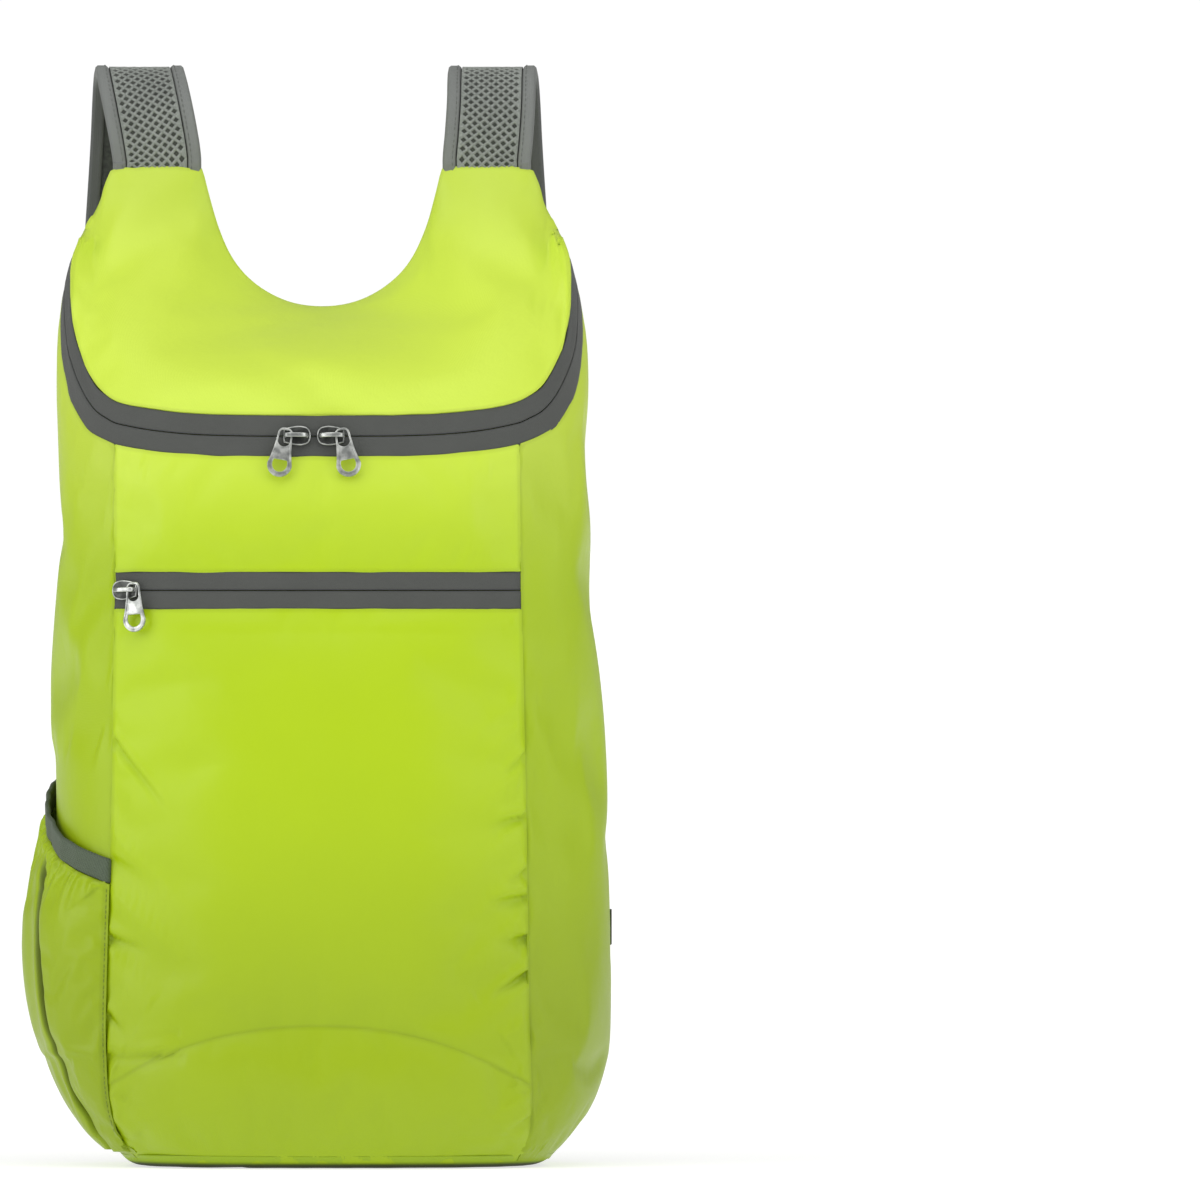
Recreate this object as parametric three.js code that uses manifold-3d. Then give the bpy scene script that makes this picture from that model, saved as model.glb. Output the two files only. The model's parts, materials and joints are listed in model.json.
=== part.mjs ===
// Packable backpack: a full, hollow nylon bag that stands on its base, with two shoulder straps.
// Millimetres. +X is the viewer's right, +Y is towards the wearer's back, +Z is up. The origin is
// the middle of the flat base. The cloth is one smooth skin that is cut into panels at its seams,
// and each panel is a thin wall on the inner side of that skin.

import * as THREE from 'three';
import { mergeVertices } from 'three/addons/utils/BufferGeometryUtils.js';
import Module from 'manifold-3d';

const wasm = await Module();
wasm.setup();

// The bag
const BAG_HEIGHT = 448;            // floor to the shoulder tips
const BAG_WIDTH = 240;             // across both side panels where they are halfway filled
const BAG_DEPTH = 130;             // fullest front cloth to the back seam
const SEAM_WIDTH = 184;            // between the two front seams at the zips
const BASE_RIM = 6;                // floor to the seam round the base
const CLOTH = 1.5;                 // front, side, lid and pocket cloth
const BACK_CLOTH = 2;              // back panel and base
const SEAM_GAP = 0.3;              // between two pieces that are sewn together
const LID_GAP = 0.6;               // between the main zip and the lid, which turns away from it
const CORNER_POWER = 3;            // how square the front corners are, 2 is an ellipse
const PANEL_PUFF = 1.8;            // how far a panel swells between its seams
const BACK_PUFF = 6;               // how far the back panel swells

// The zips
const TAPE = 0.9;                  // zip tape thickness
const MAIN_TAPE = 9.4;             // height of one half of the main zip
const MAIN_ZIP_HEIGHT = 328;       // floor to the main zip at the middle
const MAIN_ZIP_RISE = 6;           // from the middle up to the front seams
const MAIN_ZIP_CLIMB = 76;         // from the front seams up to the zip's ends
const POCKET_TAPE = 8.5;           // height of one half of the pocket zip
const POCKET_ZIP_HEIGHT = 259;
const TOE_SEAM_HEIGHT = 64;        // floor to the arched seam at the middle
const TOE_SEAM_DROP = 27;          // from its middle down to its ends

// The shoulders
const NECK_WIDTH = 109;            // between the shoulder tips
const NECK_DEPTH = 62;             // shoulder tips down to the bottom of the neck scoop
const SHOULDER_DROP = 25;          // shoulder tips down to where the lid meets the zip's ends

// The straps
const STRAP_WIDTH = 40;
const STRAP_PAD = 4.4;             // thickness of the mesh pad
const BINDING_WIDTH = 6.2;
const BINDING_PROUD = 0.5;         // how far a binding stands over each face of the pad
const STRAP_RISE = 47;             // shoulder tips up to the top of the arch
const STRAP_STANDOFF = 49;         // shoulder tips back to the strap's middle line
const STRAP_FLARE = 21;            // how far the strap's lower end lies further out
const STRAP_LEAN = -3;             // how far both arches lean to one side
const STRAP_DROP = 250;            // top of the arch down to the pad's lower end
const WEBBING_WIDTH = 20;
const WEBBING = 1.4;
const WEBBING_TAIL = 46;
const BUCKLE_WIDTH = 30;
const BUCKLE_HEIGHT = 25;
const BUCKLE = 3;
const BUCKLE_SLOT = 4.2;
const BUCKLE_BAR = 4.4;            // each bar between a slot and the buckle's edge
const ANCHOR_WIDTH = 30;
const ANCHOR_HEIGHT = 42;
const ANCHOR_BASE = 22;            // floor to the anchor's lower corner

// Sliders and pulls
const SLIDER_LENGTH = 12.2;
const SLIDER_HEIGHT = 8.5;
const SLIDER_PLATE = 2;
const BRIDGE_WIDTH = 2.4;
const BRIDGE_BAR = 1;
const LEG_LENGTH = 1.5;            // of the bridge's leg along the zip
const PULL = 1.1;                  // thickness of a pull
const PULL_PLAY = 0.7;             // clearance in front of and behind a pull
const PULL_LENGTH = 22.6;
const PULL_WIDTH = 11.5;
const PULL_EYE = 3.9;              // width of the eye that hangs on the bridge's leg
const MAIN_SLIDER_PLACE = 7.5;     // middle of the pair to the middle of each slider
const MAIN_PAIR_PLACE = -2.4;      // middle of the bag to the middle of the pair
const MAIN_PULL_SPLAY = 11;        // degrees that the main pulls lean apart
const POCKET_SLIDER_INSET = 5.6;     // left end of the pocket zip to the middle of its slider
const POCKET_PULL_SPLAY = 2;

// The side pocket and the tab
const SIDE_POCKET_FRONT = 139;     // floor to the pocket's rim at the front seam
const SIDE_POCKET_CLIMB = 40;      // from there up to its rim at the back seam
const SIDE_POCKET_FOOT = 5;        // base seam up to the pocket's lower edge
const SIDE_POCKET_BULGE = 11.4;      // how far the pocket stands out over the side panel
const SIDE_POCKET_MOUTH = 2.5;       // how far its rim stands out over the side panel
const SIDE_POCKET_CREASE = 5;      // depth of the long fold down the pocket
const SIDE_POCKET_GATHER = 0.7;    // depth of the gathers under the binding
const ELASTIC = 2;                 // thickness of the pocket's binding
const ELASTIC_HEIGHT = 11;
const TAB_HEIGHT = 16;
const TAB_WIDTH = 10;
const TAB_THICKNESS = 1.2;
const TAB_PLACE = 107;             // floor to the tab's middle

const COLOURS = {
  lime: [0xb9dc3c, 0.55, 0],
  limeLid: [0xcbe558, 0.52, 0],
  limeSide: [0xa7cb34, 0.58, 0],
  tape: [0x4c4e4b, 0.8, 0],
  elastic: [0x505c4a, 0.85, 0],
  mesh: [0x767a77, 0.9, 0],
  binding: [0x6d706e, 0.8, 0],
  webbing: [0x41463a, 0.8, 0],
  plastic: [0x2b2d2a, 0.5, 0],
  metal: [0xb9bcb8, 0.3, 1],
};

// Rows of numbers under the names of their columns.
function table(columns, ...rows) {
  return rows.map((row) => Object.fromEntries(columns.map((column, i) => [column, row[i]])));
}

// The skin's level sections. up is a share of the bag's height. seamLeft and seamRight are shares
// of the front seams' half width, gussetLeft and gussetRight shares of a side panel's reach past
// its front seam. front is how far the fullest cloth lies before the middle, as a share of the
// half depth, widest is where the section is widest, as a share of the depth behind the middle,
// and inset is how far the back seam lies inside the widest line, as a share of the half width.
const PROFILE = table(
  ['up', 'seamLeft', 'seamRight', 'gussetLeft', 'gussetRight', 'front', 'widest', 'inset'],
  [    0,  0.88,  0.95, 0.177, 0.504,  0.74,  0.11, 0.067],
  [0.013, 0.913, 0.978, 0.227, 0.549,   0.8, 0.115, 0.067],
  [0.036, 0.989, 1.027,  0.35, 0.727,  0.88,  0.12, 0.067],
  [0.065, 1.027, 1.033,  0.53, 1.012,  0.94,  0.13, 0.067],
  [0.096, 1.035,  1.03, 0.662,  1.15,  0.97, 0.135, 0.067],
  [0.134,  1.04, 1.022, 0.736, 1.232,  0.99,  0.14, 0.067],
  [0.223,  1.03, 1.015, 0.807, 1.229,     1,  0.14, 0.067],
  [0.301, 1.018, 1.008, 0.829, 1.201, 0.995,  0.14, 0.067],
  [0.426, 1.002, 0.995, 0.916, 1.188,  0.97,  0.14, 0.067],
  [0.547,     1, 0.985, 0.906, 1.139, 0.925, 0.145, 0.067],
  [ 0.67,     1, 0.975, 0.867, 1.121,  0.86, 0.155, 0.062],
  [0.732,     1, 0.973,  0.88, 1.102,  0.81, 0.165, 0.055],
  [ 0.77,     1, 0.973, 0.893, 1.076, 0.765, 0.185,  0.05],
  [0.815,     1, 0.973, 0.936, 1.076,  0.52,  0.22, 0.042],
  [0.868,     1, 0.973, 0.889, 0.973,  0.18,  0.26,  0.03],
  [ 0.92,  0.97,  0.96, 0.799, 0.823, -0.12,   0.3, 0.014],
  [0.944,  0.95,  0.94, 0.779,  0.79,  -0.2,  0.32, 0.008],
  [    1,   0.9,   0.9, 0.686, 0.664,  -0.3,  0.34, 0.004],
);

// The main zip's climb up the side: round is a share of the way from the front seam to the back
// seam, climb a share of MAIN_ZIP_CLIMB.
const ZIP_CLIMB = table(
  ['round', 'climb'],
  [    0,     0],
  [0.106, 0.085],
  [0.192, 0.215],
  [0.298,  0.41],
  [0.412,  0.65],
  [ 0.55,  0.82],
  [ 0.75,  0.94],
  [    1,     1],
);

// The lid's lines, from its middle out to the zip's end. zip is the share of the zip where a line
// starts. It ends on the vest outline: neck and tip are shares of the scoop's half width and of
// the strap's width, shoulder the share of the way from the tip out to the zip's end, rise the
// share of the neck's depth and fall that of the shoulder's drop. lead and follow are the
// lengths of its curve's handles as shares of the neck's depth, and lean is the handle's angle
// where the line arrives, from upright (0) to level (90).
const LID_LINES = table(
  ['across', 'zip', 'neck', 'tip', 'shoulder', 'rise', 'fall', 'lead', 'follow', 'lean'],
  [   0,     0,     0,   0,     0,     0,    0, 0.45, 0.89, 75],
  [0.12,   0.1, 0.229,   0,     0, 0.021,    0, 0.45, 0.87, 72],
  [0.22,  0.19,  0.42,   0,     0, 0.089,    0, 0.47, 0.81, 64],
  [0.31,  0.26, 0.585,   0,     0, 0.185,    0,  0.5, 0.76, 54],
  [0.39,  0.31, 0.713,   0,     0, 0.303,    0, 0.55, 0.74, 44],
  [0.46, 0.345, 0.804,   0,     0, 0.444,    0,  0.6, 0.76, 35],
  [0.52,  0.37, 0.878,   0,     0, 0.613,    0, 0.65, 0.81, 27],
  [0.57, 0.385, 0.938,   0,     0,  0.79,    0, 0.68, 0.84, 20],
  [0.62,   0.4,     1,   0,     0,     1,    0, 0.71, 0.87, 15],
  [ 0.7, 0.425,     1, 0.5,     0,     1,    0, 0.71, 0.87, 12],
  [0.78,  0.45,     1,   1,     0,     1,    0, 0.68, 0.84, 12],
  [0.83,   0.5,     1,   1,  0.29,     1, 0.32,  0.6, 0.71, 15],
  [0.88,  0.58,     1,   1, 0.483,     1,  0.7, 0.48, 0.55, 20],
  [0.92,  0.68,     1,   1,   0.7,     1, 0.88, 0.32, 0.42, 30],
  [0.96,  0.82,     1,   1, 0.875,     1, 0.96, 0.16, 0.22, 40],
  [   1,     1,     1,   1,     1,     1,    1, 0.02, 0.02, 45],
);
const ZIP_CORNER = 0.45;           // share of the zip, from the middle, that lies on the front
const SIDE_TURN = 0.7;             // share of a side panel that turns round the front corner

// The strap's middle line, as shares of the rise, drop, standoff and flare.
const STRAP_LINE = table(
  ['rise', 'drop', 'back', 'flare'],
  [   0,     0,    0,     0],
  [ 0.1,     0,    0,     0],
  [0.32,     0, 0.01, 0.055],
  [0.66,     0, 0.08,  0.15],
  [0.92,     0, 0.26,  0.22],
  [   1,     0, 0.47,  0.26],
  [   1, 0.014, 0.67,   0.3],
  [   1,  0.06, 0.86,  0.34],
  [   1,  0.13, 0.96,  0.38],
  [   1,  0.25, 1.01,  0.47],
  [   1,  0.37,    1,  0.57],
  [   1,  0.59, 0.94,  0.74],
  [   1,   0.8, 0.83,  0.88],
  [   1,     1, 0.69,     1],
);

// How full the side pocket is from its foot to its binding, as shares of its bulge.
const POCKET_FILL = table(
  ['up', 'fill'],
  [   0,    0],
  [0.12, 0.03],
  [0.25,  0.4],
  [0.34, 0.67],
  [0.44, 0.86],
  [0.56,    1],
  [ 0.7, 0.96],
  [0.86,  0.7],
  [   1,    0],
);

// A smooth curve through a table's column that never overshoots its rows.
function curveThrough(rows, keyName, valueName) {
  const keys = rows.map((row) => row[keyName]);
  const values = rows.map((row) => row[valueName]);
  const steps = keys.slice(1).map((key, i) => (values[i + 1] - values[i]) / (key - keys[i]));
  const slopes = keys.map((key, i) => {
    if (i === 0) return steps[0];
    if (i === keys.length - 1) return steps[i - 1];
    if (steps[i - 1] * steps[i] <= 0) return 0;
    return 2 / (1 / steps[i - 1] + 1 / steps[i]);
  });
  return (at) => {
    const held = Math.min(Math.max(at, keys[0]), keys[keys.length - 1]);
    let i = 0;
    while (i < keys.length - 2 && held > keys[i + 1]) i += 1;
    const span = keys[i + 1] - keys[i];
    const t = (held - keys[i]) / span;
    const rest = 1 - t;
    return values[i] * (1 + 2 * t) * rest * rest + values[i + 1] * t * t * (3 - 2 * t)
      + span * (slopes[i] * t * rest * rest - slopes[i + 1] * t * t * rest);
  };
}

function curvesThrough(rows, keyName) {
  const names = Object.keys(rows[0]).filter((name) => name !== keyName);
  return Object.fromEntries(names.map((name) => [name, curveThrough(rows, keyName, name)]));
}

const profile = curvesThrough(PROFILE, 'up');
const zipClimb = curveThrough(ZIP_CLIMB, 'round', 'climb');
const lidLine = curvesThrough(LID_LINES, 'across');
const pocketFill = curveThrough(POCKET_FILL, 'up', 'fill');

const HALF_WIDTH = BAG_WIDTH / 2;
const HALF_SEAM = SEAM_WIDTH / 2;
const GUSSET = HALF_WIDTH - HALF_SEAM;                // a side panel's reach past its front seam
const BACK_FACE = BAG_DEPTH / 2 - BACK_CLOTH;         // the back panel's inner face
const TIP_INNER = NECK_WIDTH / 2;
const TIP_OUTER = TIP_INNER + STRAP_WIDTH;
const SHOULDER_HEIGHT = BAG_HEIGHT - SHOULDER_DROP;
const ROUND_POWER = CORNER_POWER / 2;

// The section of the skin at a height, on one side of the bag.
function sectionAt(z, side) {
  const up = z / BAG_HEIGHT;
  const seam = HALF_SEAM * (side < 0 ? profile.seamLeft(up) : profile.seamRight(up));
  const half = seam + GUSSET * (side < 0 ? profile.gussetLeft(up) : profile.gussetRight(up));
  const widest = BAG_DEPTH * profile.widest(up);
  const reach = widest + (BAG_DEPTH / 2) * profile.front(up);
  const inset = HALF_WIDTH * profile.inset(up);
  return { half, seam, widest, reach, inset };
}

// A point of the skin. round runs from -1 at the left back seam, through 0 at the middle of the
// front, to 1 at the right back seam.
function skinPoint(round, z) {
  const side = round < 0 ? -1 : 1;
  const { half, seam, widest, reach, inset } = sectionAt(z, side);
  const share = Math.abs(round);
  if (share <= ZIP_CORNER) {
    const x = (seam * share) / ZIP_CORNER;
    const y = widest - reach * (1 - (x / half) ** CORNER_POWER) ** (1 / CORNER_POWER);
    return new THREE.Vector3(side * x, y, z);
  }
  const along = (share - ZIP_CORNER) / (1 - ZIP_CORNER);
  if (along <= SIDE_TURN) {
    const start = Math.asin((seam / half) ** ROUND_POWER);
    const turn = 1 - (1 - along / SIDE_TURN) ** ROUND_POWER;
    const angle = start + (Math.PI / 2 - start) * turn;
    const x = half * Math.sin(angle) ** (1 / ROUND_POWER);
    const y = widest - reach * Math.max(Math.cos(angle), 0) ** (1 / ROUND_POWER);
    return new THREE.Vector3(side * x, y, z);
  }
  const t = (along - SIDE_TURN) / (1 - SIDE_TURN);
  const y = widest + (BACK_FACE - SEAM_GAP - widest) * t;
  return new THREE.Vector3(side * (half - inset * t ** 2), y, z);
}

function roundOnSide(side, along) {
  return side * (ZIP_CORNER + (1 - ZIP_CORNER) * along);
}

// The back seam's distance from the middle, up to the shoulder tip.
const outerLines = LID_LINES.filter((row) => row.tip === 1);
const shoulderByFall = curveThrough(outerLines, 'fall', 'shoulder');
function backEdge(z, side) {
  const { half, inset } = sectionAt(Math.min(z, SHOULDER_HEIGHT), side);
  if (z <= SHOULDER_HEIGHT) return half - inset;
  const fall = (BAG_HEIGHT - z) / SHOULDER_DROP;
  return TIP_OUTER + (half - inset - TIP_OUTER) * shoulderByFall(fall);
}

// The main zip's middle line, and the lines beside it at a distance along the skin.
function zipHeight(round) {
  const share = Math.abs(round);
  const front = Math.min(share / ZIP_CORNER, 1);
  const side = Math.max((share - ZIP_CORNER) / (1 - ZIP_CORNER), 0);
  return MAIN_ZIP_HEIGHT + MAIN_ZIP_RISE * front ** 4 + MAIN_ZIP_CLIMB * zipClimb(side);
}

function besideZip(round, distance) {
  const step = 0.01;
  const before = Math.max(round - step, -1);
  const after = Math.min(round + step, 1);
  const z = zipHeight(round);
  const run = skinPoint(after, z).distanceTo(skinPoint(before, z));
  const climb = zipHeight(after) - zipHeight(before);
  return z + distance * Math.hypot(1, climb / run);
}

// The directions square to a sheet of triangles, one at each of its points.
function sheetNormals(points, faces) {
  const normals = points.map(() => new THREE.Vector3());
  for (const [a, b, c] of faces) {
    const ab = points[b].clone().sub(points[a]);
    const ac = points[c].clone().sub(points[a]);
    const normal = ab.cross(ac);
    for (const corner of [a, b, c]) normals[corner].add(normal);
  }
  return normals.map((normal) => normal.normalize());
}

// A closed wall: an outer sheet of points and triangles, thickened on its inner side.
function wall(points, faces, thickness, normals = sheetNormals(points, faces)) {
  const edges = new Map();
  for (const [a, b, c] of faces) {
    for (const [from, to] of [[a, b], [b, c], [c, a]]) edges.set(`${from}_${to}`, [from, to]);
  }
  const inner = points.map((point, i) => point.clone().addScaledVector(normals[i], -thickness));
  const count = points.length;
  const index = [];
  for (const [a, b, c] of faces) index.push(a, b, c, c + count, b + count, a + count);
  for (const [from, to] of edges.values()) {
    if (edges.has(`${to}_${from}`)) continue;
    index.push(to, from, from + count, to, from + count, to + count);
  }
  return solidFrom([...points, ...inner], index);
}

function solidFrom(points, index) {
  const geometry = new THREE.BufferGeometry();
  const positions = points.flatMap((point) => [point.x, point.y, point.z]);
  geometry.setAttribute('position', new THREE.Float32BufferAttribute(positions, 3));
  geometry.setIndex(index);
  geometry.computeVertexNormals();
  return geometry;
}

// A wall whose outer face is a grid: pointAt takes shares along and up it. Seen from outside, up
// is a quarter turn anticlockwise from along. squareAt gives the outward direction where the wall
// meets another one, or nothing where it follows its own grid.
function gridWall(alongs, ups, thickness, pointAt, squareAt = () => null) {
  const places = ups.flatMap((up) => alongs.map((along) => [along, up]));
  const points = places.map(([along, up]) => pointAt(along, up));
  const faces = [];
  const row = alongs.length;
  for (let i = 0; i < ups.length - 1; i += 1) {
    for (let j = 0; j < row - 1; j += 1) {
      const a = i * row + j;
      faces.push([a, a + 1, a + row + 1], [a, a + row + 1, a + row]);
    }
  }
  const own = sheetNormals(points, faces);
  const normals = places.map(([along, up], i) => squareAt(along, up) ?? own[i]);
  return wall(points, faces, thickness, normals);
}

function shares(count, from = 0, to = 1) {
  return Array.from({ length: count + 1 }, (_, i) => from + ((to - from) * i) / count);
}

function mix(a, b, t) {
  return a + (b - a) * t;
}

// The outward direction of the skin.
function skinNormal(round, z) {
  const step = 0.004;
  const across = skinPoint(Math.min(round + step, 1), z).sub(skinPoint(Math.max(round - step, -1), z));
  const up = skinPoint(round, z + 1).sub(skinPoint(round, z - 1));
  return across.cross(up).normalize();
}

// A puff that is zero on a panel's four seams and nearly full a little way inside them.
function puffAt(along, up) {
  const across = 1 - (2 * along - 1) ** 6;
  const rise = 1 - (2 * up - 1) ** 6;
  return PANEL_PUFF * across * rise;
}

// A panel of the skin that spans a list of rounds, between two seam heights.
function skinPanel(rounds, ups, lowAt, highAt, bulge = puffAt, thickness = CLOTH) {
  const last = rounds.length - 1;
  const span = rounds[last] - rounds[0];
  const squareAt = (round, up) => skinNormal(round, mix(lowAt(round), highAt(round), up));
  const pointAt = (round, up) => {
    const z = mix(lowAt(round), highAt(round), up);
    const swell = bulge((round - rounds[0]) / span, up);
    return skinPoint(round, z).addScaledVector(squareAt(round, up), swell);
  };
  return gridWall(rounds, ups, thickness, pointAt, squareAt);
}

const noPuff = () => 0;
const SEAM_ROUND = (SEAM_GAP / 2 / HALF_SEAM) * ZIP_CORNER;
const FRONT_EDGE = ZIP_CORNER - SEAM_ROUND;
const SIDE_EDGE = ZIP_CORNER + SEAM_ROUND;

function toeSeam(round) {
  return TOE_SEAM_HEIGHT - TOE_SEAM_DROP * Math.min(Math.abs(round) / ZIP_CORNER, 1) ** 2.3;
}

// The lid's lines, and where they and their neighbours meet the zip, so that the pieces on both
// sides of it share their corners. The lines are closer on the shoulders.
function mirrored(values) {
  return [...values.slice(1).map((value) => -value).reverse(), ...values];
}

const halfLines = LID_LINES.flatMap(({ across }, i) => {
  if (i === 0 || LID_LINES[i - 1].shoulder === 0 && LID_LINES[i].shoulder === 0) return [across];
  return [(LID_LINES[i - 1].across + across) / 2, across];
});
const lidLines = mirrored(halfLines);
const zipRounds = lidLines.map((across) => Math.sign(across) * lidLine.zip(Math.abs(across)));
const sideRounds = zipRounds.filter((round) => round > ZIP_CORNER + SEAM_ROUND);
const rightRounds = [SIDE_EDGE, ...sideRounds];
const leftRounds = rightRounds.map((round) => -round).reverse();
const innerRounds = zipRounds.filter((round) => Math.abs(round) < FRONT_EDGE - SEAM_ROUND);
const upperRounds = [-FRONT_EDGE, ...innerRounds, FRONT_EDGE];
const frontRounds = shares(12, -FRONT_EDGE, FRONT_EDGE);

function underZip(round) {
  return besideZip(round, -MAIN_TAPE - SEAM_GAP);
}

const TOE_ROWS = 4;

function frontPanels() {
  const zipTop = POCKET_ZIP_HEIGHT + POCKET_TAPE;
  const zipFoot = POCKET_ZIP_HEIGHT - POCKET_TAPE;
  const half = SEAM_GAP / 2;
  const level = (z) => () => z;
  const overToe = (round) => toeSeam(round) + half;
  const underToe = (round) => toeSeam(round) - half;
  const tape = (low, high) => skinPanel(frontRounds, [0, 1], level(low), level(high), noPuff, TAPE);
  return {
    front_upper_panel: skinPanel(upperRounds, shares(4), level(zipTop + SEAM_GAP), underZip),
    pocket_zip_tape_upper: tape(POCKET_ZIP_HEIGHT + half, zipTop),
    pocket_zip_tape_lower: tape(zipFoot, POCKET_ZIP_HEIGHT - half),
    front_pocket_panel: skinPanel(frontRounds, shares(9), overToe, level(zipFoot - SEAM_GAP)),
    front_toe_panel: skinPanel(frontRounds, shares(TOE_ROWS), level(BASE_RIM), underToe),
  };
}

// The side panels' rows are close in the rounded bottom corners, where they match the toe's.
function sidePanels() {
  const rim = () => BASE_RIM;
  const toeShare = (toeSeam(SIDE_EDGE) - BASE_RIM) / (underZip(SIDE_EDGE) - BASE_RIM);
  const rows = [...shares(TOE_ROWS, 0, toeShare), ...shares(9, toeShare, 1).slice(1)];
  return {
    side_panel_left: skinPanel(leftRounds, rows, rim, underZip),
    side_panel_right: skinPanel(rightRounds, rows, rim, underZip),
  };
}

function mainZip() {
  const half = SEAM_GAP / 2;
  const at = (distance) => (round) => besideZip(round, distance);
  return {
    main_zip_tape_lower: skinPanel(zipRounds, [0, 1], at(-MAIN_TAPE), at(-half), noPuff, TAPE),
    main_zip_tape_upper: skinPanel(zipRounds, [0, 1], at(half), at(MAIN_TAPE), noPuff, TAPE),
  };
}

// Where a lid line ends on the vest outline, seen from the front.
function vestOutline(across) {
  const side = across < 0 ? -1 : 1;
  const at = Math.abs(across);
  const shoulder = backEdge(SHOULDER_HEIGHT, side) - TIP_OUTER;
  const x = TIP_INNER * lidLine.neck(at) + STRAP_WIDTH * lidLine.tip(at) + shoulder * lidLine.shoulder(at);
  const z = BAG_HEIGHT - NECK_DEPTH * (1 - lidLine.rise(at)) - SHOULDER_DROP * lidLine.fall(at);
  return { x: side * x, z };
}

const LID_BACK = BACK_FACE - SEAM_GAP - CLOTH - 0.1;

function lidPoint(across, up) {
  const side = across < 0 ? -1 : 1;
  const at = Math.abs(across);
  const round = side * lidLine.zip(at);
  const foot = besideZip(round, MAIN_TAPE + LID_GAP);
  const start = skinPoint(round, foot);
  const rising = skinPoint(round, foot + 1).sub(skinPoint(round, foot - 1)).normalize();
  const { x, z } = vestOutline(across);
  const end = new THREE.Vector3(x, LID_BACK, z);
  const lean = THREE.MathUtils.degToRad(lidLine.lean(at));
  const arriving = new THREE.Vector3(0, Math.sin(lean), Math.cos(lean));
  const lead = start.clone().addScaledVector(rising, lidLine.lead(at) * NECK_DEPTH);
  const follow = end.clone().addScaledVector(arriving, -lidLine.follow(at) * NECK_DEPTH);
  return new THREE.CubicBezierCurve3(start, lead, follow, end).getPoint(up);
}

function lidPanel() {
  const ups = [0, 0.1, 0.22, 0.34, 0.46, 0.58, 0.7, 0.82, 0.92, 1];
  const squareAt = (across, up) => {
    if (up > ups[1]) return null;
    const round = Math.sign(across) * lidLine.zip(Math.abs(across));
    return skinNormal(round, besideZip(round, MAIN_TAPE + LID_GAP));
  };
  return gridWall(lidLines, ups, CLOTH, lidPoint, squareAt);
}

// The wearer's side: level with the back seam all round, swelling between the sides.
function backPanel() {
  const columns = mirrored(LID_LINES.filter((row) => row.shoulder === 0).map((row) => row.across));
  const ups = [0, 0.025, 0.06, 0.11, 0.25, 0.45, 0.65, 0.82, 0.9, 0.935, 0.96, 0.98, 1];
  const tilt = (across, up) => {
    const side = across < 0 ? -1 : 1;
    const top = vestOutline(across);
    const share = top.x / backEdge(top.z, side);
    const z = mix(BASE_RIM, top.z, up);
    const x = share * backEdge(z, side);
    const filled = Math.max(Math.sin((Math.PI * z) / (BAG_HEIGHT - NECK_DEPTH / 2)), 0);
    const swell = z < BAG_HEIGHT - NECK_DEPTH / 2 ? BACK_PUFF * (1 - share * share) * filled : 0;
    return new THREE.Vector3(x, BAG_DEPTH / 2 + swell, z);
  };
  return gridWall(columns.map((value) => -value), ups, BACK_CLOTH, tilt);
}

// The base: a shallow tray that rests on its flat middle and turns up to the seam round it.
function basePanel() {
  const rim = BASE_RIM - SEAM_GAP;
  const front = shares(34, -1, 1).map((round) => skinPoint(round, rim));
  const back = shares(8, 1, -1).slice(1, -1).map((across) => {
    const side = across < 0 ? -1 : 1;
    const edge = skinPoint(side, rim);
    return new THREE.Vector3(Math.abs(across) * edge.x, edge.y, rim);
  });
  const loop = [...front, ...back];
  const centre = new THREE.Vector3(0, 0, 0);
  const rings = [
    { share: 1, lift: 1 },
    { share: 0.97, lift: 0.46 },
    { share: 0.93, lift: 0.12 },
    { share: 0.88, lift: 0 },
  ];
  const points = rings.flatMap(({ share, lift }) => loop.map(
    (point) => new THREE.Vector3(point.x * share, point.y * share, rim * lift)));
  points.push(centre);
  const count = loop.length;
  const faces = [];
  rings.forEach((_, ring) => {
    for (let i = 0; i < count; i += 1) {
      const next = (i + 1) % count;
      const a = ring * count + i;
      const b = ring * count + next;
      if (ring === rings.length - 1) faces.push([a, points.length - 1, b]);
      else faces.push([a, a + count, b], [b, a + count, b + count]);
    }
  });
  const normals = sheetNormals(points, faces);
  for (let i = 0; i < count; i += 1) normals[i].setZ(0).normalize();
  return wall(points, faces, BACK_CLOTH, normals);
}

// A flat strip swept along a curve, its width kept as level as the curve allows.
function ribbon(curve, { width, thickness, steps, lateral = 0, wide = new THREE.Vector3(1, 0, 0) }) {
  const section = [
    [-width / 2, -thickness / 2], [width / 2, -thickness / 2],
    [width / 2, thickness / 2], [-width / 2, thickness / 2],
  ];
  const points = [];
  for (const share of shares(steps)) {
    const centre = curve.getPoint(share);
    const tangent = curve.getTangent(share);
    const across = wide.clone().addScaledVector(tangent, -wide.dot(tangent)).normalize();
    const normal = tangent.clone().cross(across);
    for (const [x, y] of section) {
      points.push(centre.clone().addScaledVector(across, x + lateral).addScaledVector(normal, y));
    }
  }
  const side = section.length;
  const index = [];
  for (let i = 0; i < steps; i += 1) {
    for (let j = 0; j < side; j += 1) {
      const a = i * side + j;
      const b = i * side + ((j + 1) % side);
      index.push(a, b, b + side, a, b + side, a + side);
    }
  }
  for (let j = 1; j < side - 1; j += 1) {
    const last = steps * side;
    index.push(0, j + 1, j, last, last + j, last + j + 1);
  }
  return solidFrom(points, index);
}

const STRAP_SEAT_Y = (LID_BACK + BAG_DEPTH / 2) / 2;
const STRAP_THICKNESS = STRAP_PAD + 2 * BINDING_PROUD;

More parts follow.
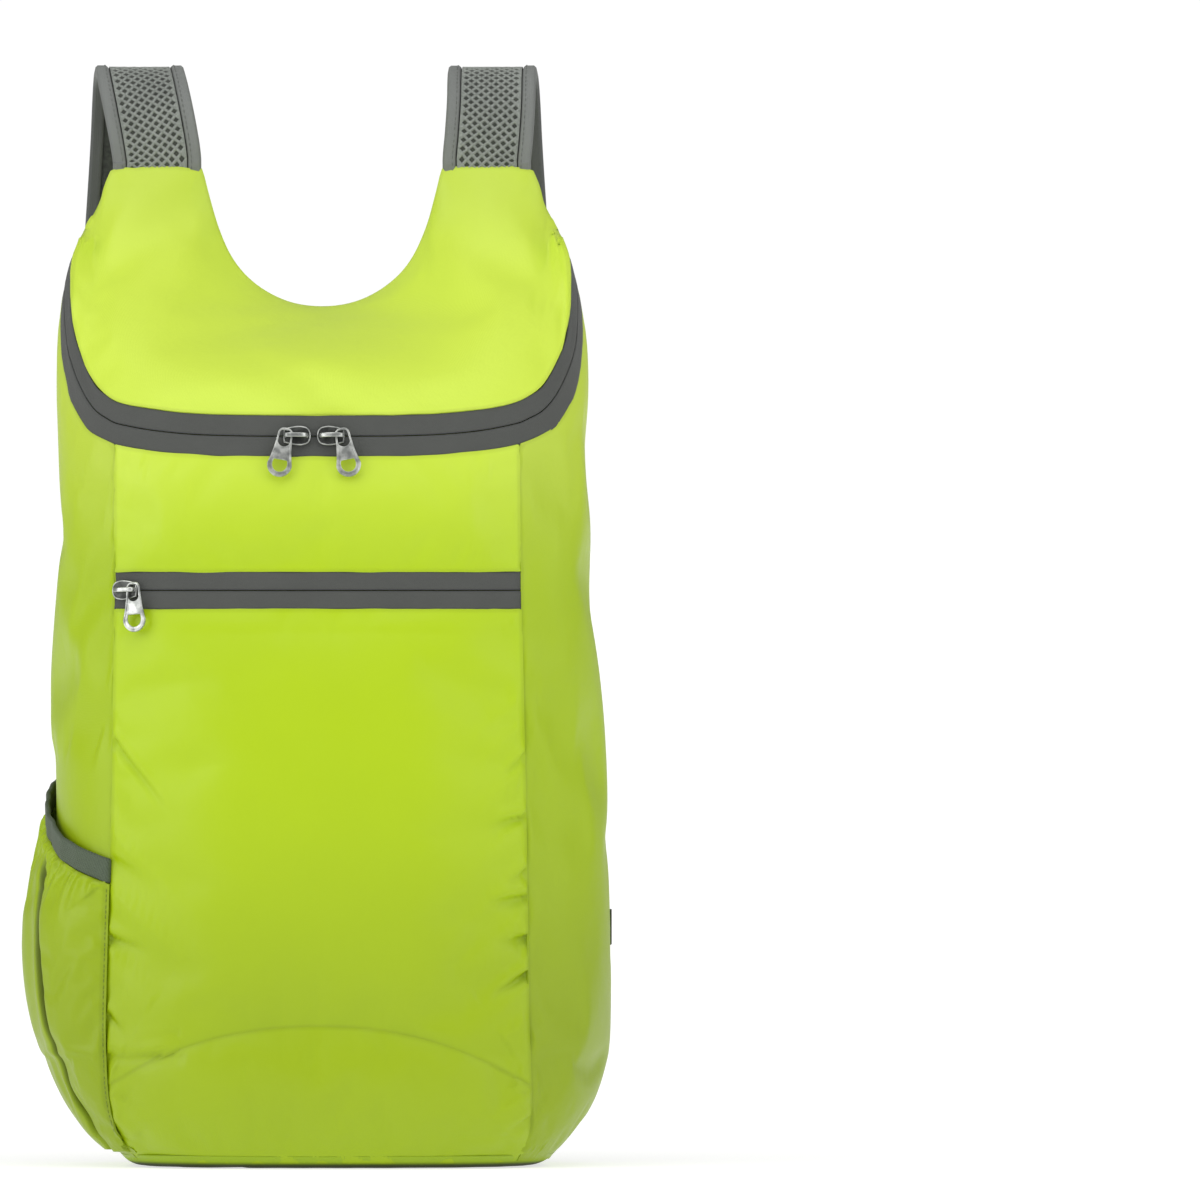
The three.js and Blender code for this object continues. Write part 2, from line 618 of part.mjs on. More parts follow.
function strapPoint(row, side) {
  const centreRise = STRAP_RISE - STRAP_THICKNESS / 2;
  return new THREE.Vector3(
    side * (TIP_INNER + STRAP_WIDTH / 2 + STRAP_FLARE * row.flare) + STRAP_LEAN * row.rise ** 2,
    STRAP_SEAT_Y + STRAP_STANDOFF * row.back,
    BAG_HEIGHT + SEAM_GAP + 0.1 + centreRise * row.rise - STRAP_DROP * row.drop,
  );
}

function strapCurve(side) {
  return new THREE.CatmullRomCurve3(STRAP_LINE.map((row) => strapPoint(row, side)), false, 'centripetal');
}

// The buckle hangs below the pad in line with its last stretch.
function buckleFrame(side) {
  const curve = strapCurve(side);
  const down = curve.getTangent(1);
  const across = new THREE.Vector3(1, 0, 0).addScaledVector(down, -down.x).normalize();
  const up = down.clone().negate();
  const out = across.clone().cross(up).negate();
  const centre = curve.getPoint(1).addScaledVector(down, BUCKLE_HEIGHT / 2 + 2.5);
  return { centre, across, up, out };
}

function onBuckle(frame, out, up) {
  return frame.centre.clone().addScaledVector(frame.out, out).addScaledVector(frame.up, up);
}

function roundedRectangle(width, height, radius) {
  const shape = new THREE.Shape();
  const x = width / 2 - radius;
  const y = height / 2 - radius;
  shape.absarc(x, y, radius, 0, Math.PI / 2);
  shape.absarc(-x, y, radius, Math.PI / 2, Math.PI);
  shape.absarc(-x, -y, radius, Math.PI, 1.5 * Math.PI);
  shape.absarc(x, -y, radius, 1.5 * Math.PI, 2 * Math.PI);
  return shape;
}

const SLOT_PLACE = BUCKLE_HEIGHT / 2 - BUCKLE_BAR - BUCKLE_SLOT / 2;

function buckle(side) {
  const shape = roundedRectangle(BUCKLE_WIDTH, BUCKLE_HEIGHT, 3);
  for (const place of [-SLOT_PLACE, SLOT_PLACE]) {
    const slot = new THREE.Path();
    const halfWidth = WEBBING_WIDTH / 2 + 1;
    const halfSlot = BUCKLE_SLOT / 2;
    slot.moveTo(-halfWidth, place - halfSlot);
    slot.lineTo(-halfWidth, place + halfSlot);
    slot.lineTo(halfWidth, place + halfSlot);
    slot.lineTo(halfWidth, place - halfSlot);
    shape.holes.push(slot);
  }
  const geometry = new THREE.ExtrudeGeometry(shape, { depth: BUCKLE, bevelEnabled: false, curveSegments: 4 });
  geometry.translate(0, 0, -BUCKLE / 2);
  const { centre, across, up } = buckleFrame(side);
  const basis = new THREE.Matrix4().makeBasis(across, up, across.clone().cross(up));
  return { geometry, position: centre, quaternion: new THREE.Quaternion().setFromRotationMatrix(basis) };
}

// A tape that wraps one bar of the buckle: sign is 1 for the upper bar and -1 for the lower one.
const WRAP = BUCKLE / 2 + SEAM_GAP + 0.4 + WEBBING / 2;
function wrapPoints(frame, sign) {
  const bar = sign * (BUCKLE_HEIGHT / 2 - BUCKLE_BAR / 2);
  const turn = sign * SLOT_PLACE;
  return [
    onBuckle(frame, -WRAP, bar),
    onBuckle(frame, -WRAP * 0.75, turn + sign * 0.9),
    onBuckle(frame, 0, turn - sign * 0.1),
    onBuckle(frame, WRAP * 0.75, turn + sign * 0.9),
    onBuckle(frame, WRAP, bar),
  ];
}

function strapLoop(side) {
  const frame = buckleFrame(side);
  const top = BUCKLE_HEIGHT / 2 + 14;
  const leg = STRAP_PAD / 2 + SEAM_GAP + WEBBING / 2 + 0.2;
  const foot = BUCKLE_HEIGHT / 2 + 4;
  const back = [onBuckle(frame, -leg, top), onBuckle(frame, -leg, foot)];
  const front = [onBuckle(frame, leg, foot), onBuckle(frame, leg, top)];
  const points = [...back, ...wrapPoints(frame, 1), ...front];
  const curve = new THREE.CatmullRomCurve3(points, false, 'centripetal');
  return ribbon(curve, { width: WEBBING_WIDTH, thickness: WEBBING, steps: 22, wide: frame.across });
}

function anchorPlace(side) {
  const z = ANCHOR_BASE + ANCHOR_HEIGHT / 2;
  const edge = backEdge(z, side);
  return { x: side * (edge - ANCHOR_WIDTH * 0.45), y: BAG_DEPTH / 2 + SEAM_GAP + 1, z };
}

function strapWebbing(side) {
  const frame = buckleFrame(side);
  const anchor = anchorPlace(side);
  const lie = anchor.y + CLOTH + SEAM_GAP + WEBBING / 2 + 0.4;
  const low = new THREE.Vector3(anchor.x, lie, anchor.z - 4);
  const off = new THREE.Vector3(anchor.x, lie, anchor.z + ANCHOR_HEIGHT * 0.35);
  const under = onBuckle(frame, -WRAP, -BUCKLE_HEIGHT / 2 - 6);
  const sag = off.clone().lerp(under, 0.5).add(new THREE.Vector3(0, 1.5, 0));
  const tail = onBuckle(frame, WRAP + 2, -BUCKLE_HEIGHT / 2 - WEBBING_TAIL);
  const points = [low, off, sag, under, ...wrapPoints(frame, -1),
    onBuckle(frame, WRAP + 0.4, -BUCKLE_HEIGHT / 2 - 8), tail];
  const curve = new THREE.CatmullRomCurve3(points, false, 'centripetal');
  return ribbon(curve, { width: WEBBING_WIDTH, thickness: WEBBING, steps: 36, wide: frame.across });
}

function strapAnchor(side) {
  const { y } = anchorPlace(side);
  const top = ANCHOR_BASE + ANCHOR_HEIGHT;
  const foot = backEdge(ANCHOR_BASE, side);
  const shape = new THREE.Shape();
  shape.moveTo(side * foot, ANCHOR_BASE);
  shape.lineTo(side * backEdge(top, side), top);
  shape.lineTo(side * (backEdge(top, side) - ANCHOR_WIDTH), top - ANCHOR_HEIGHT * 0.25);
  shape.lineTo(side * (backEdge(top, side) - ANCHOR_WIDTH), top - ANCHOR_HEIGHT * 0.62);
  const geometry = new THREE.ExtrudeGeometry(shape, { depth: CLOTH, bevelEnabled: false });
  geometry.rotateX(Math.PI / 2);
  geometry.translate(0, y + CLOTH, 0);
  return geometry;
}

function straps() {
  const pieces = {};
  for (const [name, side] of [['left', -1], ['right', 1]]) {
    const curve = strapCurve(side);
    const edge = (STRAP_WIDTH - BINDING_WIDTH) / 2;
    const padWidth = STRAP_WIDTH - 2 * BINDING_WIDTH - 2 * SEAM_GAP;
    const binding = { width: BINDING_WIDTH, thickness: STRAP_THICKNESS, steps: 28 };
    pieces[`strap_pad_${name}`] = ribbon(curve, { width: padWidth, thickness: STRAP_PAD, steps: 28 });
    pieces[`strap_binding_${name}_inner`] = ribbon(curve, { ...binding, lateral: -side * edge });
    pieces[`strap_binding_${name}_outer`] = ribbon(curve, { ...binding, lateral: side * edge });
    pieces[`strap_loop_${name}`] = strapLoop(side);
    pieces[`strap_webbing_${name}`] = strapWebbing(side);
    pieces[`strap_anchor_${name}`] = strapAnchor(side);
  }
  return pieces;
}

// The side pocket on the viewer's left: two lobes with a long fold between them, gathered under
// its elastic binding. along runs from the back seam (0) to the front seam (1).
function pocketRim(round) {
  const along = (Math.abs(round) - ZIP_CORNER) / (1 - ZIP_CORNER);
  return SIDE_POCKET_FRONT + SIDE_POCKET_CLIMB * along;
}

const POCKET_LIFT = CLOTH + 2 * SEAM_GAP;          // the pocket's edges lie on the side panel

function pocketStandoff(along, up) {
  const arch = Math.sin(Math.PI * along) ** 0.6;
  const filled = SIDE_POCKET_BULGE * pocketFill(up) + SIDE_POCKET_MOUTH * up ** 3;
  const crease = Math.exp(-(((along - 0.6) / 0.07) ** 2));
  const fold = SIDE_POCKET_CREASE * crease * (filled / SIDE_POCKET_BULGE);
  const gathers = SIDE_POCKET_GATHER * Math.cos(along * 44) * arch * Math.max((up - 0.6) / 0.4, 0);
  const panel = PANEL_PUFF * (1 - (2 * along - 1) ** 6);
  return POCKET_LIFT + panel + arch * filled - fold + gathers;
}

function sidePocket() {
  const lowAt = () => BASE_RIM + SIDE_POCKET_FOOT;
  const bandFoot = (round) => pocketRim(round) - ELASTIC_HEIGHT;
  const rounds = shares(16, -0.985, -SIDE_EDGE - 0.004);
  const clothTop = (round) => bandFoot(round) - SEAM_GAP;
  const cloth = skinPanel(rounds, shares(10), lowAt, clothTop, pocketStandoff);
  const bandOut = (along) => pocketStandoff(along, 1) - SIDE_POCKET_GATHER * Math.cos(along * 44)
    * Math.sin(Math.PI * along) ** 0.6 + (ELASTIC - CLOTH) / 2;
  const band = skinPanel(rounds, [0, 1], bandFoot, pocketRim, bandOut, ELASTIC);
  return { side_pocket: cloth, side_pocket_binding: band };
}

function sideTab() {
  const round = roundOnSide(1, SIDE_TURN * 0.88);
  const normal = skinNormal(round, TAB_PLACE);
  const offset = PANEL_PUFF + SEAM_GAP + TAB_THICKNESS / 2;
  const centre = skinPoint(round, TAB_PLACE).addScaledVector(normal, offset);
  const geometry = new THREE.BoxGeometry(TAB_THICKNESS, TAB_WIDTH, TAB_HEIGHT);
  geometry.rotateZ(Math.atan2(normal.y, normal.x));
  geometry.translate(centre.x, centre.y, centre.z);
  return geometry;
}

// A closed solid as a manifold, and back.
function toManifold(geometry) {
  const bare = geometry.index ? geometry.clone() : geometry;
  bare.deleteAttribute('normal');
  bare.deleteAttribute('uv');
  const merged = mergeVertices(bare, 1e-4);
  const mesh = new wasm.Mesh({
    numProp: 3,
    vertProperties: new Float32Array(merged.attributes.position.array),
    triVerts: new Uint32Array(merged.index.array),
  });
  return new wasm.Manifold(mesh);
}

function fromManifold(solid) {
  const mesh = solid.getMesh();
  const geometry = new THREE.BufferGeometry();
  geometry.setAttribute('position', new THREE.BufferAttribute(new Float32Array(mesh.vertProperties), 3));
  geometry.setIndex(new THREE.BufferAttribute(new Uint32Array(mesh.triVerts), 1));
  geometry.computeVertexNormals();
  return geometry;
}

// A slider lies along +X with its pull's leg at the +X end, its foot plane at z = 0.
const LEG_PLACE = SLIDER_LENGTH / 2 - LEG_LENGTH / 2;
const PULL_FLOOR = SLIDER_PLATE + PULL_PLAY;
const BRIDGE_FLOOR = PULL_FLOOR + PULL + PULL_PLAY;

function sliderSolid() {
  const plate = new THREE.Shape();
  const half = SLIDER_LENGTH / 2;
  const tall = SLIDER_HEIGHT / 2;
  plate.moveTo(half, -tall * 0.72);
  plate.lineTo(half, tall * 0.72);
  plate.quadraticCurveTo(0, tall * 1.15, -half * 0.45, tall);
  plate.quadraticCurveTo(-half, tall * 0.9, -half, 0);
  plate.quadraticCurveTo(-half, -tall * 0.9, -half * 0.45, -tall);
  plate.quadraticCurveTo(0, -tall * 1.15, half, -tall * 0.72);
  const flat = { depth: SLIDER_PLATE, bevelEnabled: false, curveSegments: 5 };
  const body = new THREE.ExtrudeGeometry(plate, flat);
  const sunk = SLIDER_PLATE / 2;
  const arch = new THREE.Shape();
  const top = BRIDGE_FLOOR + BRIDGE_BAR;
  arch.moveTo(half, sunk);
  arch.lineTo(half, top - BRIDGE_BAR * 0.6);
  arch.lineTo(half - LEG_LENGTH * 0.5, top);
  arch.lineTo(-half * 0.4, top);
  arch.lineTo(-half * 0.8, SLIDER_PLATE + PULL_PLAY);
  arch.lineTo(-half * 0.8, sunk);
  arch.lineTo(-half * 0.8 + LEG_LENGTH, sunk);
  arch.lineTo(-half * 0.8 + LEG_LENGTH, SLIDER_PLATE);
  arch.lineTo(-half * 0.4 + LEG_LENGTH * 0.3, BRIDGE_FLOOR);
  arch.lineTo(half - LEG_LENGTH, BRIDGE_FLOOR);
  arch.lineTo(half - LEG_LENGTH, sunk);
  const bridge = new THREE.ExtrudeGeometry(arch, { depth: BRIDGE_WIDTH, bevelEnabled: false });
  bridge.rotateX(Math.PI / 2);
  bridge.translate(0, BRIDGE_WIDTH / 2, 0);
  return fromManifold(toManifold(body).add(toManifold(bridge)));
}

// A pull hangs along -Y from its pivot at the origin, its back face at z = 0.
function pullSolid() {
  const eye = PULL_EYE / 2;
  const top = PULL_LENGTH * 0.15;
  const foot = top - PULL_LENGTH;
  const shoulder = PULL_WIDTH * 0.31;
  const ring = PULL_WIDTH / 2;
  const ringPlace = foot + ring;
  const shape = new THREE.Shape();
  shape.moveTo(-shoulder, 0);
  shape.quadraticCurveTo(-shoulder, top, 0, top);
  shape.quadraticCurveTo(shoulder, top, shoulder, 0);
  shape.quadraticCurveTo(shoulder * 1.05, ringPlace * 0.5, ring, ringPlace);
  shape.absarc(0, ringPlace, ring, 0, -Math.PI, true);
  shape.quadraticCurveTo(-shoulder * 1.05, ringPlace * 0.5, -shoulder, 0);
  const window = new THREE.Path();
  const windowFoot = foot * 0.27;
  window.moveTo(eye, 0);
  window.absarc(0, 0, eye, 0, Math.PI);
  window.lineTo(-eye, windowFoot + eye * 0.5);
  window.quadraticCurveTo(-eye * 0.6, windowFoot, 0, windowFoot);
  window.quadraticCurveTo(eye * 0.6, windowFoot, eye, windowFoot + eye * 0.5);
  shape.holes.push(window);
  const hole = new THREE.Path();
  const holeTop = foot * 0.63;
  const holeHalf = ring - 2.3;
  hole.moveTo(-holeHalf, holeTop);
  hole.absarc(0, ringPlace + 0.4, holeHalf, Math.PI, 2 * Math.PI);
  hole.lineTo(holeHalf, holeTop);
  shape.holes.push(hole);
  return new THREE.ExtrudeGeometry(shape, { depth: PULL, bevelEnabled: false, curveSegments: 5 });
}

// Where a slider sits on the skin: facing is 1 with its leg to the right, -1 to the left.
function sliderSeat(x, z, facing) {
  const side = x < 0 ? -1 : 1;
  const round = (side * Math.abs(x) / sectionAt(z, side).seam) * ZIP_CORNER;
  const out = skinNormal(round, z);
  const along = new THREE.Vector3(facing, 0, 0);
  along.addScaledVector(out, -along.dot(out)).normalize();
  const up = out.clone().cross(along);
  const basis = new THREE.Matrix4().makeBasis(along, up, out);
  const quaternion = new THREE.Quaternion().setFromRotationMatrix(basis);
  const foot = skinPoint(round, z).addScaledVector(out, SEAM_GAP);
  return { foot, along, up, out, quaternion, facing };
}

function material(name) {
  const [color, roughness, metalness] = COLOURS[name];
  return new THREE.MeshStandardMaterial({ color, roughness, metalness });
}

const bag = new THREE.Group();

function add(name, geometry, colour, place) {
  const mesh = new THREE.Mesh(geometry, material(colour));
  mesh.name = name;
  if (place) {
    mesh.position.copy(place.position);
    mesh.quaternion.copy(place.quaternion);
  }
  bag.add(mesh);
}

function addAll(pieces, colourOf) {
  for (const [name, geometry] of Object.entries(pieces)) add(name, geometry, colourOf(name));
}

// A slider and its pull. The pull turns about the bridge's leg, square to the cloth.
function addSlider(prefix, suffix, seat, splay) {
  const place = { position: seat.foot, quaternion: seat.quaternion };
  add(`${prefix}_slider${suffix}`, sliderSolid(), 'metal', place);
  const pivot = seat.foot.clone();
  pivot.addScaledVector(seat.along, LEG_PLACE).addScaledVector(seat.out, PULL_FLOOR);
  const lean = seat.facing * THREE.MathUtils.degToRad(splay);
  const hang = new THREE.Quaternion().setFromAxisAngle(seat.out, lean);
  const rise = seat.up.clone().multiplyScalar(seat.facing);
  const upright = new THREE.Matrix4().makeBasis(rise.clone().cross(seat.out), rise, seat.out);
  const turned = hang.multiply(new THREE.Quaternion().setFromRotationMatrix(upright));
  add(`${prefix}_pull${suffix}`, pullSolid(), 'metal', { position: pivot, quaternion: turned });
}

function addSliders() {
  const left = MAIN_PAIR_PLACE - MAIN_SLIDER_PLACE;
  const right = MAIN_PAIR_PLACE + MAIN_SLIDER_PLACE;
  addSlider('main', '_left', sliderSeat(left, MAIN_ZIP_HEIGHT, -1), MAIN_PULL_SPLAY);
  addSlider('main', '_right', sliderSeat(right, MAIN_ZIP_HEIGHT, 1), MAIN_PULL_SPLAY);
  const pocketEnd = -sectionAt(POCKET_ZIP_HEIGHT, -1).seam;
  const pocketPlace = pocketEnd + POCKET_SLIDER_INSET;
  addSlider('pocket', '', sliderSeat(pocketPlace, POCKET_ZIP_HEIGHT, 1), POCKET_PULL_SPLAY);
}

function strapColour(name) {
  if (name.includes('pad')) return 'mesh';
  if (name.includes('binding')) return 'binding';
  return name.includes('anchor') ? 'limeSide' : 'webbing';
}

addAll(frontPanels(), (name) => (name.includes('tape') ? 'tape' : 'lime'));
addAll(sidePanels(), () => 'limeSide');
add('base_panel', basePanel(), 'limeSide');
add('back_panel', backPanel(), 'limeSide');
addAll(mainZip(), () => 'tape');
add('lid_panel', lidPanel(), 'limeLid');
addSliders();
addAll(straps(), strapColour);
add('strap_buckle_left', buckle(-1).geometry, 'plastic', buckle(-1));
add('strap_buckle_right', buckle(1).geometry, 'plastic', buckle(1));
addAll(sidePocket(), (name) => (name.includes('binding') ? 'elastic' : 'limeSide'));
add('side_tab', sideTab(), 'plastic');

export default bag;
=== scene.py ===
"""The packable lime backpack: sewn nylon panels, covered zips, mesh straps and plated pulls."""

import json
import math

import bmesh
import bpy
from mathutils import Matrix, Vector, noise
from mathutils.bvhtree import BVHTree
from mathutils.kdtree import KDTree


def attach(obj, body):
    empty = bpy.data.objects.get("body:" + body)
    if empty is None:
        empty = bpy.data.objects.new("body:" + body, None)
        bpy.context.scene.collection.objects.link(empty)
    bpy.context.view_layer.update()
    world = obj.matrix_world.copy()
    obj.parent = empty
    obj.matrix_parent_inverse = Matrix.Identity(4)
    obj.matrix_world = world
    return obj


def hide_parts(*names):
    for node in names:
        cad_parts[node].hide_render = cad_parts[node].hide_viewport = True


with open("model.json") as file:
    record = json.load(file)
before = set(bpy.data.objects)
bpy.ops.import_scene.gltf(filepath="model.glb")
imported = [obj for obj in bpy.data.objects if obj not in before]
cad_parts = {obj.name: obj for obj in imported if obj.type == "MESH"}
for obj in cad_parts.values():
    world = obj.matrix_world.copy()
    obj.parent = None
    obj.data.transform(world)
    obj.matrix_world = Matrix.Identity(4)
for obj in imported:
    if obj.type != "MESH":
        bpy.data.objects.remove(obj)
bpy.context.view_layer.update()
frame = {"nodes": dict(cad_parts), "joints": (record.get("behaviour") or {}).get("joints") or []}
bpy.ops.object.select_all(action="DESELECT")

MM = 0.001
SETTLING_FRAMES = 16
# Where the camera aims, and the middle of what is packed in the bag
AIM = Vector((0.1256, 0.015, 0.2541))
HEART = Vector((0.003, 0.012, 0.2))
CAMERA_FAR = 12
CAMERA_LIFT = math.radians(0.5)
# In millimetres: the front seams' distance from the middle, and the heights of the front's foot, of its
# arched seam and of the place where its filling ends
SEAM_ASIDE, FOOT, ARCH, FILL_TOP = 93, 8, 64, 240
ZIP_TAPES = ("main_zip_tape_lower", "main_zip_tape_upper", "pocket_zip_tape_lower", "pocket_zip_tape_upper")


def bell(gap, width):
    """1 in the middle, and less with the gap from it."""
    return math.exp(-(gap / width) ** 2)


def share(number):
    """The number, kept from 0 to 1."""
    return min(max(number, 0), 1)


def opened(mesh):
    """A mesh, open for edits."""
    bm = bmesh.new()
    bm.from_mesh(mesh)
    return bm


def put_back(bm, piece):
    bm.to_mesh(piece.data)
    bm.free()


def add_object(name, data):
    made = bpy.data.objects.new(name, data)
    bpy.context.scene.collection.objects.link(made)
    return made


# The camera, the lights and the floor

def set_camera():
    eye = AIM + CAMERA_FAR * Vector((0, -math.cos(CAMERA_LIFT), math.sin(CAMERA_LIFT)))
    lens = bpy.data.cameras.new("camera")
    lens.lens = 800
    lens.sensor_width = 36
    camera = add_object("camera", lens)
    camera.location = eye
    camera.rotation_euler = (AIM - eye).to_track_quat("-Z", "Y").to_euler()
    bpy.context.scene.camera = camera


def add_softbox(name, toward, strength, spread):
    """A far, wide light that shines along toward."""
    light = bpy.data.lights.new(name, "SUN")
    light.energy = strength
    light.angle = math.radians(spread)
    lamp = add_object(name, light)
    lamp.rotation_euler = Vector(toward).to_track_quat("-Z", "Y").to_euler()


def set_studio():
    scene = bpy.context.scene
    scene.view_settings.view_transform = "Standard"
    world = bpy.data.worlds.new("studio")
    world.use_nodes = True
    sky = world.node_tree.nodes["Background"]
    sky.inputs["Color"].default_value = (1.0, 1.0, 1.0, 1.0)
    seen = world.node_tree.nodes.new("ShaderNodeLightPath").outputs["Is Camera Ray"]
    glow = world.node_tree.nodes.new("ShaderNodeMapRange")
    glow.inputs["To Min"].default_value = 0.27
    glow.inputs["To Max"].default_value = 1.02
    world.node_tree.links.new(seen, glow.inputs["Value"])
    world.node_tree.links.new(glow.outputs[0], sky.inputs["Strength"])
    scene.world = world
    add_softbox("top_softbox", (0.05, 0.5, -1), 1.25, 60)
    add_softbox("left_softbox", (1, 0.55, -0.4), 1.08, 45)
    add_softbox("right_softbox", (-1, 0.55, -0.4), 0.88, 45)
    bpy.ops.mesh.primitive_circle_add(vertices=96, radius=40, fill_type="NGON", location=(0, 0, -0.0002))
    floor = bpy.context.object
    floor.name = "floor"
    shine = {"Emission Color": (1.0, 1.0, 1.0, 1.0), "Emission Strength": 0.67}
    white = Finish("studio floor", {"Roughness": 0.9, "Specular IOR Level": 0.1} | shine)
    cloudy = white.noise(white.place(), 3, 1) * 0.01 + 0.5
    white.paint(white.colour(cloudy, cloudy, cloudy))
    floor.data.materials.append(white.material)


# Finishes

def on_screen(red, green, blue):
    """A colour as it looks on a screen, 0 to 255."""
    shares = (red / 255, green / 255, blue / 255)
    return (*(c / 12.92 if c <= 0.04045 else ((c + 0.055) / 1.055) ** 2.4 for c in shares), 1.0)


class Value:
    """A number, colour or vector inside a finish."""

    def __init__(self, finish, socket):
        self.finish = finish
        self.socket = socket

    def maths(self, operation, *others):
        return self.finish.value("Math", {"operation": operation}, dict(enumerate((self, *others))))

    def __add__(self, other):
        return self.maths("ADD", other)

    __radd__ = __add__

    def __sub__(self, other):
        return self.maths("SUBTRACT", other)

    def __rsub__(self, other):
        return (self * -1.0) + other

    def __mul__(self, other):
        return self.maths("MULTIPLY", other)

    __rmul__ = __mul__

    def sine(self):
        return self.maths("SINE")

    def between(self, low, high):
        """0 below low, 1 above high, and a smooth rise between."""
        settings = {"interpolation_type": "SMOOTHSTEP", "clamp": True}
        return self.finish.value("MapRange", settings, {"Value": self, "From Min": low, "From Max": high})


class Finish:
    """A material whose nodes are written as sums."""

    def __init__(self, name, settings):
        self.material = bpy.data.materials.new(name)
        self.material.use_nodes = True
        self.tree = self.material.node_tree
        self.shader = self.tree.nodes["Principled BSDF"]
        for socket, value in settings.items():
            self.shader.inputs[socket].default_value = value

    def node(self, kind, settings=None, sockets=None):
        made = self.tree.nodes.new("ShaderNode" + kind)
        for name, value in (settings or {}).items():
            setattr(made, name, value)
        for name, value in (sockets or {}).items():
            self.feed(made.inputs[name], value)
        return made

    def feed(self, socket, value):
        if isinstance(value, Value):
            self.tree.links.new(value.socket, socket)
        else:
            socket.default_value = value

    def value(self, kind, settings=None, sockets=None, output=0):
        return Value(self, self.node(kind, settings, sockets).outputs[output])

    def place(self):
        return self.value("TexCoord", output="Object")

    def split(self, vector):
        outputs = self.node("SeparateXYZ", None, {0: vector}).outputs
        return [Value(self, outputs[i]) for i in range(3)]

    def stretch(self, vector, x, y, z):
        """The vector with its parts stretched."""
        return self.value("VectorMath", {"operation": "MULTIPLY"}, {0: vector, 1: (x, y, z)})

    def kept(self, name):
        """A number that the mesh keeps at its corners."""
        return self.value("Attribute", {"attribute_name": name}, output="Fac")

    def noise(self, vector, scale, detail=2.0, rough=0.5):
        sockets = {"Vector": vector, "Scale": scale, "Detail": detail, "Roughness": rough}
        return self.value("TexNoise", None, sockets)

    def colour(self, red, green, blue):
        return self.value("CombineColor", None, {0: red, 1: green, 2: blue})

    def blend(self, part, first, second):
        return self.value("Mix", {"data_type": "RGBA"}, {0: part, 6: first, 7: second}, 2)

    def tint(self, colour, by):
        """The colour made darker or lighter by a number."""
        return self.value("VectorMath", {"operation": "SCALE"}, {0: colour, "Scale": by})

    def paint(self, colour):
        self.feed(self.shader.inputs["Base Color"], colour)

    def gloss(self, roughness):
        self.feed(self.shader.inputs["Roughness"], roughness)

    def emboss(self, *layers):
        """Bumps, each a height from 0 to 1 and its depth in millimetres."""
        normal = None
        for height, depth in layers:
            sockets = {"Height": height, "Distance": depth * MM, "Strength": 1.0}
            if normal:
                sockets["Normal"] = normal
            normal = self.value("Bump", None, sockets)
        self.feed(self.shader.inputs["Normal"], normal)


def lime_nylon(name, foot, middle, top, shade=1.0):
    """Satin nylon with painted light: brighter and yellower toward the top, as the light from above falls on
    it, with painted shade near the floor, in the seams, in the folds and at the lid's top edge, and shade
    darkening a whole copy as painted shade. It has a fine weave and soft creases."""
    finish = Finish(name, {"Sheen Weight": 0.03, "Sheen Roughness": 0.35, "Specular IOR Level": 0.4})
    place = finish.place()
    across, back, up = finish.split(place)
    mottle = finish.noise(place, 14, 2)
    # Painted light: the colour runs from a darker, greener foot to a brighter, yellower top, as the light from
    # above falls on the bag
    colour = finish.blend(up.between(0.04, 0.2), foot, middle)
    colour = finish.blend(up.between(0.25, 0.36), colour, top)
    from_seam = finish.kept("from_seam")
    # Painted shade in the seams: the cloth is a little darker close to a seam
    painted_seam_shade = (1 - from_seam.between(0.0003, 0.0018)) * up.between(0.012, 0.02)
    # Painted shade in the folds: darker in the side pocket's fold and in the pinches' grooves
    in_fold = finish.kept("in_fold").between(0.1, 0.9)
    # Painted shade: the cloth turns dark green in its lowest few millimetres, where shade falls under the bag
    painted_floor_shade = up.between(0.0012, 0.0034) * 0.92 + 0.08
    # mottle is the cloth's own uneven tone; the lid's top edge is painted darker, as shade against the light
    # from above, and shade darkens a whole copy of the cloth as painted shade
    cloudy = (mottle * 0.08 + 0.96 * shade) * (1 - up.between(0.395, 0.445) * 0.16)
    finish.paint(finish.tint(colour, cloudy * painted_floor_shade * (1 - painted_seam_shade * 0.12) * (1 - in_fold * 0.68)))
    finish.gloss(finish.noise(place, 60, 3) * 0.1 + 0.36 + (1 - up.between(0.002, 0.005)) * 0.5)
    thread = 2 * math.pi / (0.62 * MM)
    weave = ((across + back) * thread).sine() * (up * thread).sine() * 0.5 + 0.5
    creases = finish.noise(finish.stretch(place, 1, 1, 0.7), 45, 4, 0.6)
    finish.emboss((weave, 0.035), (creases, 0.45))
    return finish.material


def woven_tape(name, colour, rib, depth, painted_shade_behind=0.0, sheen=0.1, edge_shade=0.75):
    """Woven tape with ribs across its length and a twill slant, darker along its edges, and painted darker
    behind the bag as shade where the straps run down the back."""
    finish = Finish(name, {"Sheen Weight": sheen, "Sheen Roughness": 0.5, "Specular IOR Level": 0.3})
    along = finish.kept("along")
    across = finish.kept("across")
    ribs = ((along + across * 0.6) * (2 * math.pi / (rib * MM))).sine() * 0.5 + 0.5
    cross = (across * (2 * math.pi / (0.9 * MM))).sine() * 0.5 + 0.5
    fuzz = finish.noise(finish.place(), 900, 2)
    mottle = finish.noise(finish.place(), 40, 3)
    edge = finish.kept("from_edge").between(0.0, 0.0012)
    shade = (ribs * 0.12 + mottle * 0.22 + fuzz * 0.2 + 0.72) * (edge * (1 - edge_shade) + edge_shade)
    # Painted shade: darker behind the bag, where the straps run down the back in shade
    shade = shade * (1 - finish.split(finish.place())[1].between(0.088, 0.1) * painted_shade_behind)
    finish.paint(finish.tint(colour[:3], shade))
    finish.gloss(fuzz * 0.15 + 0.68)
    finish.emboss((ribs * 0.6 + cross * 0.4, depth), (fuzz, 0.12))
    return finish.material


